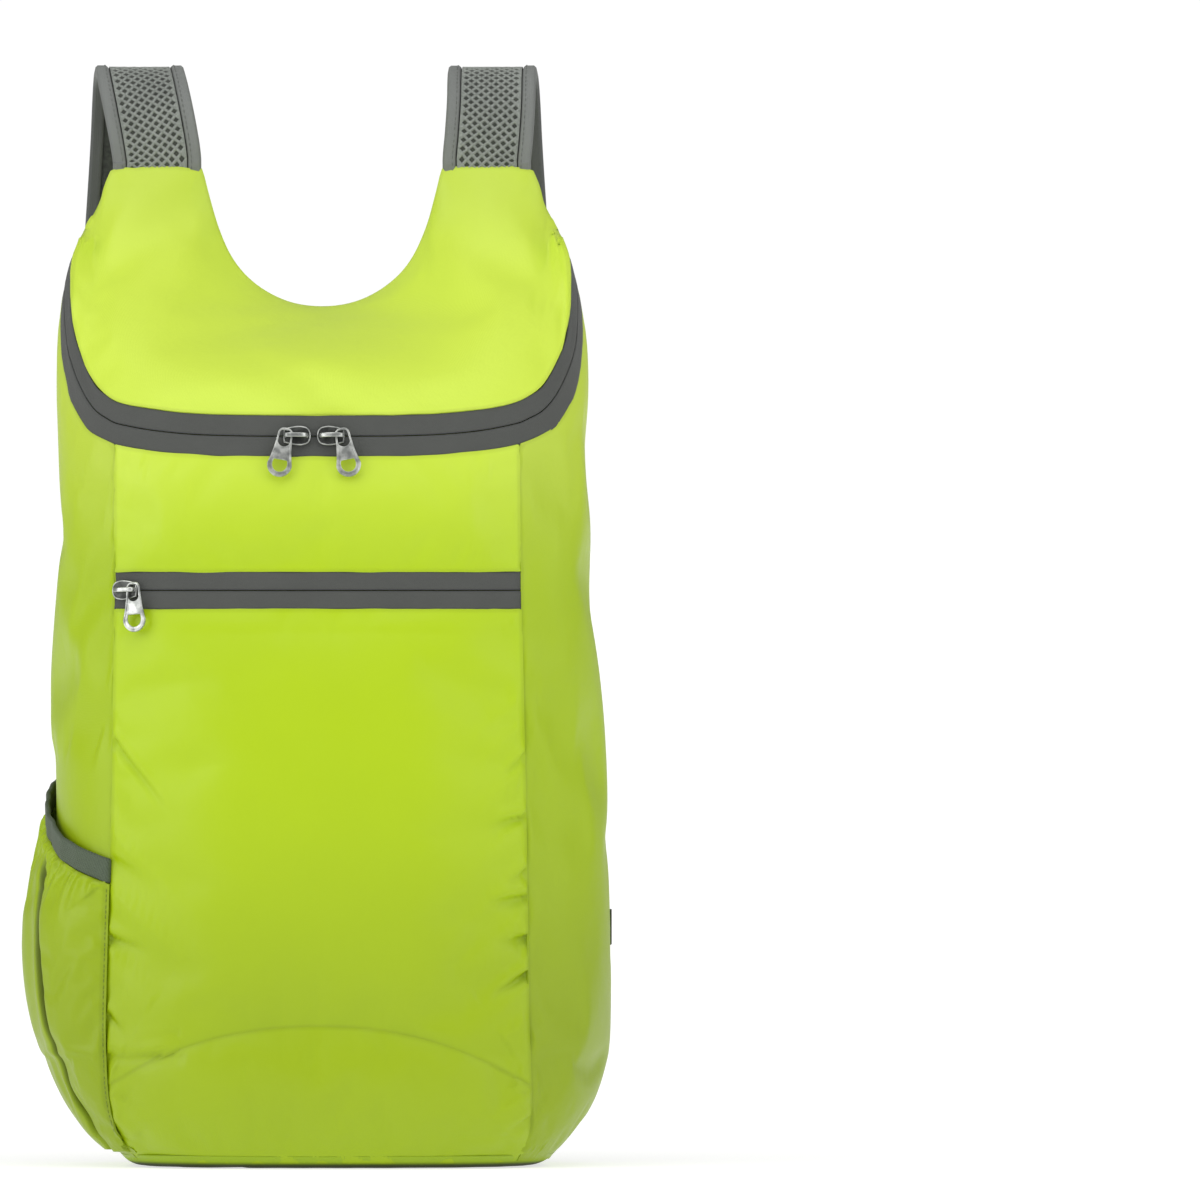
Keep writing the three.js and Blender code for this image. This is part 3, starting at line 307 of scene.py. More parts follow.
def plated_metal(name, dull, bright):
    """Nickel plating, a little brushed and worn."""
    finish = Finish(name, {"Metallic": 0.8, "Specular IOR Level": 0.6})
    place = finish.place()
    worn = finish.noise(place, 260, 3)
    brushed = finish.noise(finish.stretch(place, 1, 1, 0.12), 2600, 2)
    finish.paint(finish.blend(worn.between(0.35, 0.65), dull, bright))
    finish.gloss(worn * 0.16 + brushed * 0.1 + 0.22)
    finish.emboss((brushed, 0.02), (worn, 0.05))
    return finish.material


def moulded_plastic(name):
    finish = Finish(name, {"Specular IOR Level": 0.45})
    place = finish.place()
    grain = finish.noise(place, 1500, 3)
    cloudy = finish.noise(place, 90, 2)
    finish.paint(finish.blend(cloudy, on_screen(34, 36, 34), on_screen(48, 50, 47)))
    finish.gloss(grain * 0.2 + 0.38)
    finish.emboss((grain, 0.04))
    return finish.material


def knitted(name, dark, light, scale):
    """Soft knitted yarn."""
    finish = Finish(name, {"Sheen Weight": 0.25, "Sheen Roughness": 0.6, "Specular IOR Level": 0.25})
    place = finish.place()
    yarn = finish.noise(place, scale, 3, 0.6)
    cloudy = finish.noise(place, 30, 2)
    finish.paint(finish.blend((yarn * 0.7 + cloudy * 0.3).between(0.3, 0.7), dark, light))
    finish.gloss(yarn * 0.1 + 0.8)
    finish.emboss((yarn, 0.18))
    return finish.material


# Ways of working

def zip_surfaces():
    """The drawn zip tapes, for the cloth that laps over them."""
    bm = bmesh.new()
    for node in ZIP_TAPES:
        bm.from_mesh(frame["nodes"][node].data)
    tree = BVHTree.FromBMesh(bm)
    bm.free()
    return tree


ZIPS = zip_surfaces()


def new_piece(name, mesh_or_bm, finish, node=None, body="bag"):
    """A finished piece in place: it rides on its body and stands for its node."""
    mesh = bpy.data.meshes.new(name)
    if isinstance(mesh_or_bm, bmesh.types.BMesh):
        mesh_or_bm.to_mesh(mesh)
        mesh_or_bm.free()
    else:
        mesh.from_pydata(*mesh_or_bm)
    mesh.shade_smooth()
    piece = add_object(name, mesh)
    mesh.materials.append(finish)
    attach(piece, body)
    if node:
        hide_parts(node)
    return piece


def choose(piece):
    bpy.ops.object.select_all(action="DESELECT")
    piece.select_set(True)
    bpy.context.view_layer.objects.active = piece


def apply_all(piece):
    choose(piece)
    for modifier in list(piece.modifiers):
        bpy.ops.object.modifier_apply(modifier=modifier.name)
    piece.select_set(False)


def smooth_under(piece, degrees):
    """Smooth shading, with the edges that bend more left sharp."""
    choose(piece)
    bpy.ops.object.shade_smooth_by_angle(angle=math.radians(degrees))
    piece.select_set(False)


def subdivide(piece, levels):
    if levels:
        smooth = piece.modifiers.new("smooth", "SUBSURF")
        smooth.levels = levels
        smooth.render_levels = levels
        smooth.boundary_smooth = "PRESERVE_CORNERS"
        apply_all(piece)


def thicken(piece, thickness):
    """Gives a sheet its cloth's thickness on its inner side."""
    wall = piece.modifiers.new("thickness", "SOLIDIFY")
    wall.thickness = thickness * MM
    wall.offset = -1
    apply_all(piece)


def keep_numbers(mesh, **columns):
    """Numbers that the mesh keeps at its corners, for its finish."""
    for name, numbers in columns.items():
        mesh.attributes.new(name, "FLOAT", "POINT").data.foreach_set("value", numbers)


def welded(node):
    """A drawn solid's mesh with its corners welded, its triangles joined and its rims marked sharp."""
    bm = opened(frame["nodes"][node].data)
    bmesh.ops.remove_doubles(bm, verts=bm.verts, dist=0.02 * MM)
    for edge in bm.edges:
        edge.smooth = edge.calc_face_angle(0) < math.radians(50)
    bmesh.ops.join_triangles(
        bm, faces=bm.faces, cmp_sharp=True,
        angle_face_threshold=math.pi, angle_shape_threshold=math.pi,
    )
    return bm


def outer_sheet(node):
    """The outer face of a drawn cloth solid, as a sheet."""
    bm = welded(node)
    best, best_score = None, 0
    left = set(bm.faces)
    while left:
        patch = {left.pop()}
        growing = list(patch)
        while growing:
            for edge in growing.pop().edges:
                if edge.smooth:
                    fresh = set(edge.link_faces) & left
                    left -= fresh
                    patch |= fresh
                    growing.extend(fresh)
        score = sum(f.calc_area() * f.normal.dot(f.calc_center_median() - HEART) for f in patch)
        if score > best_score:
            best, best_score = patch, score
    bmesh.ops.delete(bm, geom=[f for f in bm.faces if f not in best], context="FACES")
    # The drawn shoulders end in slivers, which would crumple the sheet
    slivers = [v for v in bm.verts if abs(v.co.x) > 0.1 and v.co.z > 0.41]
    bmesh.ops.remove_doubles(bm, verts=slivers, dist=2.5 * MM)
    slivers = {v for v in slivers if v.is_valid}
    for vertex in slivers:
        vertex.co.y = min(vertex.co.y, 61.1 * MM)
    bmesh.ops.delete(bm, geom=[e for e in bm.edges if not e.link_faces], context="EDGES")
    crease = bm.verts.layers.float.new("crease_vert")
    for vertex in bm.verts:
        ends = [e.other_vert(vertex).co - vertex.co for e in vertex.link_edges if e.is_boundary]
        sharp = 115 if vertex in slivers else 150
        if len(ends) == 2 and ends[0].angle(ends[1]) < math.radians(sharp):
            vertex[crease] = 1.0
    return bm


def billow(piece, slack, pressure, stiffness, cap, free):
    """Lets the sheet settle between its seams under a little air, then caps how far it moved."""
    mesh = piece.data
    drawn = [v.co.copy() for v in mesh.vertices]
    edge_use = {}
    for polygon in mesh.polygons:
        for key in polygon.edge_keys:
            edge_use[key] = edge_use.get(key, 0) + 1
    seam = sorted({v for key, uses in edge_use.items() if uses == 1 for v in key})
    held = piece.vertex_groups.new(name="seam")
    held.add(seam, 1.0, "REPLACE")
    cloth = piece.modifiers.new("cloth", "CLOTH")
    settings = {
        "quality": 6, "mass": 0.15, "tension_stiffness": 25, "compression_stiffness": 25,
        "shear_stiffness": 8, "bending_stiffness": stiffness, "air_damping": 4, "shrink_min": -slack,
        "use_pressure": True, "uniform_pressure_force": pressure, "vertex_group_mass": "seam",
    }
    for name, value in settings.items():
        setattr(cloth.settings, name, value)
    cloth.settings.effector_weights.gravity = 0
    cloth.collision_settings.use_collision = False
    cloth.point_cache.frame_end = SETTLING_FRAMES
    for at in range(1, SETTLING_FRAMES + 1):
        bpy.context.scene.frame_set(at)
    apply_all(piece)
    bpy.context.scene.frame_set(1)
    for vertex, start in zip(piece.data.vertices, drawn):
        move = vertex.co - start
        room = cap * MM * free(start)
        if move.length > 0:
            kept = room * math.tanh(move.length / room) / move.length if room > 1e-7 else 0
            vertex.co = start + move * kept
    piece.vertex_groups.clear()


def relax(piece, times, below=1.0):
    """Eases the sheet between its seams, as cloth pulls out its own creases."""
    bm = opened(piece.data)
    inner = [v for v in bm.verts if not v.is_boundary and v.co.z < below]
    for _ in range(times):
        eased = [
            sum((e.other_vert(v).co for e in v.link_edges), Vector()) / len(v.link_edges) for v in inner
        ]
        for vertex, co in zip(inner, eased):
            vertex.co = vertex.co.lerp(co, 0.5)
    put_back(bm, piece)


def nearest_of(places):
    """Finds the nearest of some places, and which one it is."""
    tree = KDTree(len(places))
    for i, place in enumerate(places):
        tree.insert(place, i)
    tree.balance()
    return tree


def at_foot(place):
    """How far a place on the lid's edge is within a strap's foot, from 0 to 1."""
    inside = min(abs(place.x) - 55 * MM, 94.5 * MM - abs(place.x)) / (6 * MM)
    return share(inside) if place.z > 445 * MM else 0


def edge_lift(seam, far, at_zip, dip, lap):
    """How far the cloth beside a seam rises over a zip or rolls into the seam, in millimetres. It hardly
    does at the foot, along the arched seam and where the shoulders turn down."""
    if seam.z < 9 * MM:
        return 0.0
    if lap and abs(seam.x) > 104 * MM and seam.z > 0.4:
        return 0.3 * max(1 - far / (4 * MM), 0)
    if lap and at_foot(seam):
        return 0.5 * at_foot(seam) * max(1 - far / (9 * MM), 0)
    if at_zip:
        return 0.5 * lap * max(1 - far / (3.5 * MM), 0) ** 2
    soft = 0.25 if seam.z < 0.068 and abs(seam.x) < 0.092 else 1.0
    return -dip * soft * max(1 - far / (2.6 * MM), 0) ** 2


def ripples(layer, seam, run, far):
    """How high one layer of gathers stands at a distance from its seam, in millimetres."""
    height, pitch, long, lean = layer
    spot = (seam + run * (lean * far)) / (pitch * MM)
    length = long * (0.75 + 0.7 * noise.noise(seam / (2.3 * pitch * MM) + Vector((5, 1, 7))))
    ripple = 0.5 - 1.6 * abs(noise.noise(spot)) + 0.3 * noise.noise(spot * 2 + Vector((9, 3, 5)))
    fade = max(1 - far / (length * MM), 0) ** 1.5 * min(far / (3 * MM), 1)
    return height * ripple * fade


def work_seams(piece, dip, layers, lap=0.0, reach=lambda place: 0.15, full=None):
    """Rolls the sheet's edges into their seams, laps them over the zips and puckers the cloth beside them.
    A layer is its height, its pitch along the seam, its length and its lean, and where it is found.
    full says how far a place is filled out."""
    mesh = piece.data
    bm = opened(mesh)
    bm.normal_update()
    seam = [v for v in bm.verts if v.is_boundary]
    tree = nearest_of([v.co for v in seam])
    runs, at_zip = [], []
    for vertex in seam:
        ends = [e.other_vert(vertex).co for e in vertex.link_edges if e.is_boundary]
        run = (ends[1] - ends[0]).normalized()
        runs.append(run if run.z > 0 else -run)
        near_zip = vertex.co.z < 0.4 and ZIPS.find_nearest(vertex.co, 1.6 * MM)[0] is not None
        at_zip.append(bool(lap) and near_zip)
    moves, distances = [], []
    for vertex in bm.verts:
        nearest, i, far = tree.find(vertex.co)
        distances.append(far)
        lift = 0.0
        for *layer, where in layers:
            lift += ripples(layer, nearest, runs[i], far) * where(nearest)
        if full:
            lift += full(vertex.co)
        lift += edge_lift(nearest, far, at_zip[i], dip, lap)
        move = vertex.normal * (lift * MM)
        if vertex.is_boundary:
            inner = [e.other_vert(vertex).co for e in vertex.link_edges if not e.is_boundary]
            away = sum((vertex.co - co for co in inner), Vector())
            away -= runs[i] * away.dot(runs[i])
            away -= vertex.normal * away.dot(vertex.normal)
            over = reach(vertex.co)
            if at_zip[i]:
                over = lap * (0.8 + 0.6 * noise.noise(vertex.co / (13 * MM)))
            elif lap and at_foot(vertex.co):
                over = at_foot(vertex.co) * (1.3 + 1.8 * noise.noise(vertex.co / (3.1 * MM)))
            move += away.normalized() * (over * MM)
        moves.append(move)
    bm.free()
    for vertex, move in zip(mesh.vertices, moves):
        vertex.co += move
    keep_numbers(mesh, from_seam=distances)


def bevelled_copy(name, node, finish, width):
    """A drawn hard piece with its flats cleaned and its edges broken."""
    bm = opened(frame["nodes"][node].data)
    bmesh.ops.remove_doubles(bm, verts=bm.verts, dist=0.005 * MM)
    bmesh.ops.dissolve_limit(bm, angle_limit=math.radians(2), verts=bm.verts, edges=bm.edges)
    piece = new_piece(name, bm, finish, node)
    edges = piece.modifiers.new("edges", "BEVEL")
    edges.width = width * MM
    edges.segments = 3
    edges.limit_method = "ANGLE"
    edges.angle_limit = math.radians(35)
    edges.harden_normals = False
    apply_all(piece)
    smooth_under(piece, 50)
    return piece


# Ribbons: the drawn tapes, bindings, webbing and pads, followed section by section

def sections_of(node, heart):
    """A drawn ribbon's sections from end to end: its outer side's two corners, then its inner side's."""
    bm = welded(node)
    cap = next(
        f for f in bm.faces
        if len(f.verts) == 4 and all(sum(not e.smooth for e in v.link_edges) == 3 for v in f.verts)
    )
    row, rows = list(cap.verts), []
    seen = set(row)
    while row:
        rows.append([v.co.copy() for v in row])
        ahead = []
        for vertex in row:
            onward = [e.other_vert(vertex) for e in vertex.link_edges if not e.smooth]
            ahead.append(next((v for v in onward if v not in seen), None))
        seen.update(ahead)
        row = ahead if all(ahead) else None
    bm.free()
    if sum((r[1] - r[0]).length for r in rows) < sum((r[2] - r[1]).length for r in rows):
        rows = [[r[1], r[2], r[3], r[0]] for r in rows]
    facing = sum(((r[0] + r[1] - r[2] - r[3]).dot((r[0] + r[1]) / 2 - heart)) for r in rows)
    if facing < 0:
        rows = [[r[2], r[3], r[0], r[1]] for r in rows]
    return rows


def finer(rows, times):
    """The same sections with smooth ones put between them."""
    made = []
    last = len(rows) - 1
    for i in range(last):
        before, start, end, after = rows[max(i - 1, 0)], rows[i], rows[i + 1], rows[min(i + 2, last)]
        for step in range(times):
            t = step / times
            weights = (
                (-t + 2 * t * t - t ** 3) / 2,
                (2 - 5 * t * t + 3 * t ** 3) / 2,
                (t + 4 * t * t - 3 * t ** 3) / 2,
                (-t * t + t ** 3) / 2,
            )
            made.append([
                sum((w * r[k] for w, r in zip(weights, (before, start, end, after))), Vector())
                for k in range(len(start))
            ])
    made.append(rows[-1])
    return made


def on_section(row, across, through):
    """A point of a section: across from -1 to 1, and through from -1 inside to 1 outside."""
    outer = row[0].lerp(row[1], (across + 1) / 2)
    inner = row[3].lerp(row[2], (across + 1) / 2)
    return inner.lerp(outer, (through + 1) / 2)


def outward(row):
    """The way a section faces."""
    return (row[0] + row[1] - row[2] - row[3]).normalized()


def runs_along(rows, through):
    """How far each section is along the ribbon."""
    runs = [0.0]
    for before, row in zip(rows, rows[1:]):
        runs.append(runs[-1] + (on_section(row, 0, through) - on_section(before, 0, through)).length)
    return runs


def ring_shape(flats, round_steps, squareness):
    """A rounded ribbon's section: its outer face, one edge, its inner face and the other edge."""
    shape = []
    edge = 1 - squareness
    for side in (1, -1):
        for k in range(flats + 1):
            shape.append((side * (-squareness + 2 * squareness * k / flats), float(side)))
        for k in range(1, round_steps):
            turn = math.pi * k / round_steps
            shape.append((side * (squareness + edge * math.sin(turn)), side * math.cos(turn)))
    return shape


def ribbon(name, node, rows, finish, flats=6, times=3, waver=lambda along, across, through: 0.0):
    """A ribbon with rounded edges over the drawn one. waver lifts its surface, in millimetres."""
    rows = finer(rows, times)
    width = sum((r[1] - r[0]).length for r in rows) / len(rows)
    thickness = sum((r[1] - r[2]).length for r in rows) / len(rows)
    shape = ring_shape(flats, 4, 1 - min(thickness / width, 0.4))
    points, along, across, from_edge = [], [], [], []
    for row, run in zip(rows, runs_along(rows, 0)):
        out = outward(row)
        for x, through in shape:
            lift = waver(run / MM, x, through) * MM
            points.append(on_section(row, x, through) + out * lift)
            along.append(run)
            across.append(x * width / 2)
            from_edge.append((1 - abs(x)) * width / 2)
    side = len(shape)
    faces = [
        (i * side + j, i * side + (j + 1) % side, (i + 1) * side + (j + 1) % side, (i + 1) * side + j)
        for i in range(len(rows) - 1) for j in range(side)
    ]
    last = (len(rows) - 1) * side
    faces.append(tuple(range(side))[::-1])
    faces.append(tuple(range(last, last + side)))
    piece = new_piece(name, (points, [], faces), finish, node)
    keep_numbers(piece.data, along=along, across=across, from_edge=from_edge)
    face_outward(piece)
    return piece


def face_outward(piece):
    bm = opened(piece.data)
    bmesh.ops.recalc_face_normals(bm, faces=bm.faces)
    put_back(bm, piece)


# The sewn panels

def sew_panel(node, finish, levels, settling, seams,
              free=lambda place: 1.0, finer_by=1, ease=0, shape=None, stitched=None):
    """A sewn panel: the outer face of its drawn solid, filled out, puckered and given its thickness.
    settling is its slack, the air's pressure, its stiffness and how far it may move, in millimetres. It is
    held at its seams while it settles."""
    piece = new_piece(node + "_cloth", outer_sheet(node), finish, node)
    subdivide(piece, levels - 1)
    relax(piece, ease)
    relax(piece, 3 * ease, 0.05)
    billow(piece, *settling, free)
    subdivide(piece, finer_by)
    work_seams(piece, **seams)
    if shape:
        shape(piece)
    path = beside_edge(piece, stitched, 1.3) if stitched else None
    thicken(piece, 1.0)
    if path:
        thread = knitted("lime thread", on_screen(92, 112, 14), on_screen(120, 142, 26), 2500)
        stitch_rows(node + "_stitches", [path], 2.4, thread, length=0.7, width=0.36)


def filled_front(place):
    """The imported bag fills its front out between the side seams, most above the middle."""
    aside = 1 - math.exp(-max(SEAM_ASIDE + 1 - abs(place.x) / MM, 0) / 16)
    height = place.z / MM
    if height < ARCH:
        return 1.6 * aside * math.sin(math.pi * max((height - FOOT) / (ARCH - FOOT), 0))
    return 6.2 * aside * math.sin(math.pi * min((height - ARCH) / (FILL_TOP - ARCH), 1) ** 1.25)


PINCHES = [
    (1, 186, 12, 0.7, 0.9), (1, 158, 18, 1.2, 0.2), (1, 134, 12, 0.9, 0.55), (1, 122, 21, 1.1, 0.15),
    (1, 104, 15, 1.0, 0.2), (1, 88, 18, 1.3, 0.6), (1, 23, 13, 0.8, 0.5),
    (-1, 193, 30, 1.0, 1.1), (-1, 140, 20, 0.5, 0.5), (-1, 104, 21, 1.0, 0.3), (-1, 70, 11, 0.8, 0.9),
    (-1, 51, 20, 0.6, 0.15),
]


def pinch_front(piece):
    """The cloth is pinched where the side seams hold it short: each pinch is a narrow groove that runs
    inward and down. It has its side, its height on the seam, its length, its depth and its slope."""
    mesh = piece.data
    from_seam = [item.value / MM for item in mesh.attributes["from_seam"].data]
    in_fold = [0.0] * len(mesh.vertices)
    normals = [v.normal.copy() for v in mesh.vertices]
    for vertex, normal, far in zip(mesh.vertices, normals, from_seam):
        if abs(vertex.co.x) < 62 * MM:
            continue
        for side, height, long, deep, slope in PINCHES:
            above = vertex.co.z / MM - height + slope * far
            if side * vertex.co.x < 0 or abs(above) > 12 or far > long:
                continue
            fade = min(far / 0.9, 1) * (1 - (far / long) ** 1.6) * deep
            groove = 2.3 * bell(above, 1.0 if above > 0 else 3.4)
            crown = 0.9 * bell(above - 4, 2.6)
            vertex.co += normal * ((crown - groove) * fade * MM)
            # Painted shade in each pinch's groove
            in_fold[vertex.index] = max(in_fold[vertex.index], 0.4 * fade * bell(above - 0.5, 0.9))
    keep_numbers(mesh, in_fold=in_fold)


def at_front_seams(seam):
    """The cloth puckers most beside the lower half of the front seams, and more on the right."""
    x, z = seam.x / MM, seam.z / MM
    if abs(abs(x) - SEAM_ASIDE) > 5 or z > 262:
        return 0.0
    low = min(max((235 - z) / 40, 0.25), 1)
    return low * (1.0 if x > 0 else 0.75)


def at_tips(seam):
    """Tiny gathers where the straps are sewn in and at the bottom of the neck."""
    neck = 1.6 * bell(seam.x, 14 * MM) if seam.z > 0.37 and seam.y > 0.05 else 0
    return max(1.0 if seam.z > 0.444 else 0, neck)


def under_rim(seam):
    """The side pocket gathers under its elastic."""
    return 1.0 if seam.z > 0.1272 else 0.0


# Where the side pocket's fold runs: how far back and how high, in millimetres
POCKET_FOLD = [(-9, 141), (-16, 121), (-24.5, 99), (-27.5, 72), (-22, 46), (-19, 27), (-18, 13)]


def at_pocket_front(place):
    """Whether a place is on the side pocket's front edge."""
    return place.x > -0.1 and place.y < -0.02 and place.z < 0.1285


def fold_pocket(piece):
    """The long fold down the side pocket, where a full outer lobe rolls over a narrow groove, and the
    foot, which is turned in under the bag."""
    bm = opened(piece.data)
    cloth = BVHTree.FromBMesh(bm)
    inward = Vector((1, 0, 0))
    spots = [cloth.ray_cast(Vector((-0.5, y * MM, z * MM)), inward)[:2] for y, z in POCKET_FOLD]
    line = finer([spot for spot in spots if spot[0]], 40)
    tree = nearest_of([spot for spot, _ in line])
    in_fold = bm.verts.layers.float.new("in_fold")
    for vertex in bm.verts:
        spot, k, gap = tree.find(vertex.co)
        if gap > 14 * MM:
            continue
        down = (line[min(k + 1, len(line) - 1)][0] - line[max(k - 1, 0)][0]).normalized()
        signed = (vertex.co - spot).dot(line[k][1].normalized().cross(down)) / MM
        along = k / (len(line) - 1)
        depth = min(along / 0.12 + 0.2, (1.05 - along) / 0.1, 1)
        lobe = 1.2 * bell(signed + 4, 5) / (1 + math.exp(min((signed + 0.4) * 5, 50)))
        groove = 2.8 * bell(signed - 0.2, 0.7 if signed < 0.2 else 1.8)
        vertex.co += line[k][1].normalized() * ((lobe - groove) * depth * MM)
        # Painted shade in the fold's groove
        vertex[in_fold] = bell(signed - 0.5, 0.8 + 1.5 * (1 - along)) * depth
    side = opened(frame["nodes"]["side_panel_left"].data)
    panel = BVHTree.FromBMesh(side)
    side.free()
    foot = [e for e in bm.edges if e.is_boundary and max(v.co.z for v in e.verts) < 12.5 * MM]
    for vertex in bmesh.ops.extrude_edge_only(bm, edges=foot)["geom"]:
        if isinstance(vertex, bmesh.types.BMVert):
            under = Vector((vertex.co.x * 0.94, vertex.co.y, vertex.co.z - 1 * MM))
            vertex.co = panel.find_nearest(under)[0]
    put_back(bm, piece)


def clear_pocket(piece):
    """Draws the side panel in where the side pocket lies on it."""
    mesh = piece.data
    from_seam = [item.value for item in mesh.attributes["from_seam"].data]
    normals = [v.normal.copy() for v in mesh.vertices]
    for vertex, normal, far in zip(mesh.vertices, normals, from_seam):
        rim = (0.128 + (vertex.co.y + 0.048) * 0.4) - vertex.co.z
        inside = share((far - 3 * MM) / (6 * MM)) * share((vertex.co.z - 0.016) / 0.02)
        vertex.co -= normal * (1.6 * share(rim / 0.012) * inside * MM)


def ease_shoulders(piece):
    """Draws the shoulders in, where the lid's edge turns down to the zip."""
    for vertex in piece.data.vertices:
        near = bell(vertex.co.z / MM - 418.5, 7)
        aside = share((abs(vertex.co.x) / MM - 95) / 12)
        vertex.co.x -= math.copysign(2.4 * near * aside * MM, vertex.co.x)


def sew_panels():
    # The foot, middle and top colours paint the light from above: darker low down, brighter high up
    shades = on_screen(152, 177, 0), on_screen(174, 204, 2), on_screen(206, 231, 72)
    front = lime_nylon("lime nylon", *shades)
    # A copy of the lime nylon painted darker, as shade on the sides, which face away from the lights
    sides = lime_nylon("lime nylon in painted side shade", *shades, 0.82)
    small = (1.6, 12, 22, 0.6, at_front_seams)
    broad = (3.4, 28, 52, 0.8, at_front_seams)
    tips = (1.3, 5, 12, 0, at_tips)
    hems = lambda place: 4.2 if place.z < 0.009 and place.y < 0.05 else 0.5
    plain = {"dip": 0.3, "layers": [small, broad], "lap": 0.7, "reach": hems}
    filled = plain | {"full": filled_front}
    sew_panel("front_pocket_panel", front, 3, (0.012, 2.5, 2.0, 3.0), filled,
              finer_by=2,
              shape=pinch_front)
    sew_panel("front_toe_panel", front, 3, (0.012, 2.0, 2.0, 2.0), filled,
              shape=pinch_front)
    sew_panel("front_upper_panel", front, 3, (0.008, 1.5, 2.0, 2.0), plain)
    shoulders = lambda place: 0.15 if place.z > 0.385 and abs(place.x) > 0.095 else 1.0
    turned = lambda place: 0.8
    sew_panel("lid_panel", front, 2, (0.008, 3.0, 2.0, 4.0), plain | {"layers": [tips], "reach": turned},
              free=shoulders, ease=45,
              shape=ease_shoulders)
    above_pocket = lambda place: 1.0 if place.z > 0.19 else 0.04
    firm = (0.012, 2.0, 2.0, 3.0)
    sew_panel("side_panel_left", sides, 3, firm, plain | {"layers": []},
              free=above_pocket, ease=4, shape=clear_pocket)
    short = plain | {"layers": [(2.0, 10, 16, 0.6, at_front_seams)]}
    sew_panel("side_panel_right", sides, 3, firm, short,
              ease=12)
    sewn_down = lambda place: place.z < 0.15 and (place.y > 0.045 or at_pocket_front(place))
    onto_seam = lambda place: 2.0 if sewn_down(place) else 0.15
    gathers = {"dip": 0.2, "layers": [(4.5, 6, 30, 0, under_rim)], "reach": onto_seam}
    sew_panel("side_pocket", sides, 3, (0.02, 2.0, 1.2, 2.5), gathers,
              finer_by=2, ease=7, shape=fold_pocket,
              stitched=lambda place: at_pocket_front(place) and 0.014 < place.z < 0.126)


def close_shell(node, finish):
    """A panel that is hardly seen: the drawn solid, smoothed, with its rims kept."""
    bm = welded(node)
    crease = bm.edges.layers.float.new("crease_edge")
    for edge in bm.edges:
        edge[crease] = 0.0 if edge.smooth else 1.0
        edge.smooth = True
    piece = new_piece(node + "_cloth", bm, finish, node)
    subdivide(piece, 2)
    keep_numbers(piece.data, from_seam=[0.01] * len(piece.data.vertices))


# The zips

def bow(start, toward, end, steps=8):
    """Points of a bowed line, without its last."""
    return [
        tuple((1 - t) ** 2 * a + 2 * t * (1 - t) * b + t * t * c for a, b, c in zip(start, toward, end))
        for t in (k / steps for k in range(steps))
    ]


def half_round(middle, wide, tall, start, end, steps=20):
    """Points of an oval's arc, its turns in degrees, without its last."""
    turns = (math.radians(start + (end - start) * k / steps) for k in range(steps))
    return [(middle[0] + wide * math.cos(t), middle[1] + tall * math.sin(t)) for t in turns]


def drawn_in(outline, by):
    """An outline that runs anticlockwise, drawn in all round."""
    made = []
    for i, point in enumerate(outline):
        before, after = Vector(outline[i - 1]), Vector(outline[(i + 1) % len(outline)])
        run = (after - before).normalized()
        made.append((point[0] - run.y * by, point[1] + run.x * by))
    return made


def cast_plate(name, outline, holes, low, high, edge, place, finish, body, node=None):
    """A casting with rounded edges between two heights, all in millimetres, set in place."""
    shape = bpy.data.curves.new(name + "_outline", "CURVE")
    shape.dimensions = "2D"
    shape.fill_mode = "BOTH"
    shape.extrude = (high - low) / 2 - edge
    shape.bevel_depth = edge
    shape.bevel_resolution = 2
    shape.offset = -edge
    for points in (outline, *holes):
        line = shape.splines.new("POLY")
        line.points.add(len(points) - 1)
        line.points.foreach_set("co", [c for x, y in points for c in (x, y, 0, 1)])
        line.use_cyclic_u = True
    pattern = add_object(name + "_outline", shape)
    pattern.select_set(True)
    bpy.context.view_layer.objects.active = pattern
    bpy.ops.object.convert(target="MESH")
    bm = opened(pattern.data)
    bpy.data.objects.remove(pattern)
    bmesh.ops.translate(bm, verts=bm.verts, vec=(0, 0, (low + high) / 2))
    bmesh.ops.remove_doubles(bm, verts=bm.verts, dist=0.005)
    bmesh.ops.transform(bm, matrix=place @ Matrix.Scale(MM, 4), verts=bm.verts)
    bmesh.ops.recalc_face_normals(bm, faces=bm.faces)
    smooth_under(new_piece(name, bm, finish, node, body), 55)


def seat_of(node, pull):
    """Where a casting sits: its place, up the cloth's outward side, and its own lowest height.
    A pull hangs down from its pivot, and a slider points at it."""
    joint = next(j for j in frame["joints"] if j["name"] == pull + "_swing")
    pivot, out = Vector(joint["pos_m"]), Vector(joint["axis"]).normalized()
    if out.y > 0:
        out.negate()
    corners = [v.co for v in frame["nodes"][node].data.vertices]
    corners = [Vector(c) for c in {tuple(round(x, 7) for x in corner) for corner in corners}]
    middle = sum(corners, Vector()) / len(corners)
    if node == pull:
        origin, up = pivot.copy(), pivot - middle
        up = (up - out * up.dot(out)).normalized()
        along = up.cross(out)
    else:
        origin, along = middle, pivot - middle
        along = (along - out * along.dot(out)).normalized()
        shares = [(c - middle).dot(along) for c in corners]
        origin = middle + along * ((min(shares) + max(shares)) / 2)
        up = out.cross(along)
    origin += out * min((c - origin).dot(out) for c in corners)
    return Matrix([(*row, at) for row, at in zip(zip(along, up, out), origin)] + [(0, 0, 0, 1)])


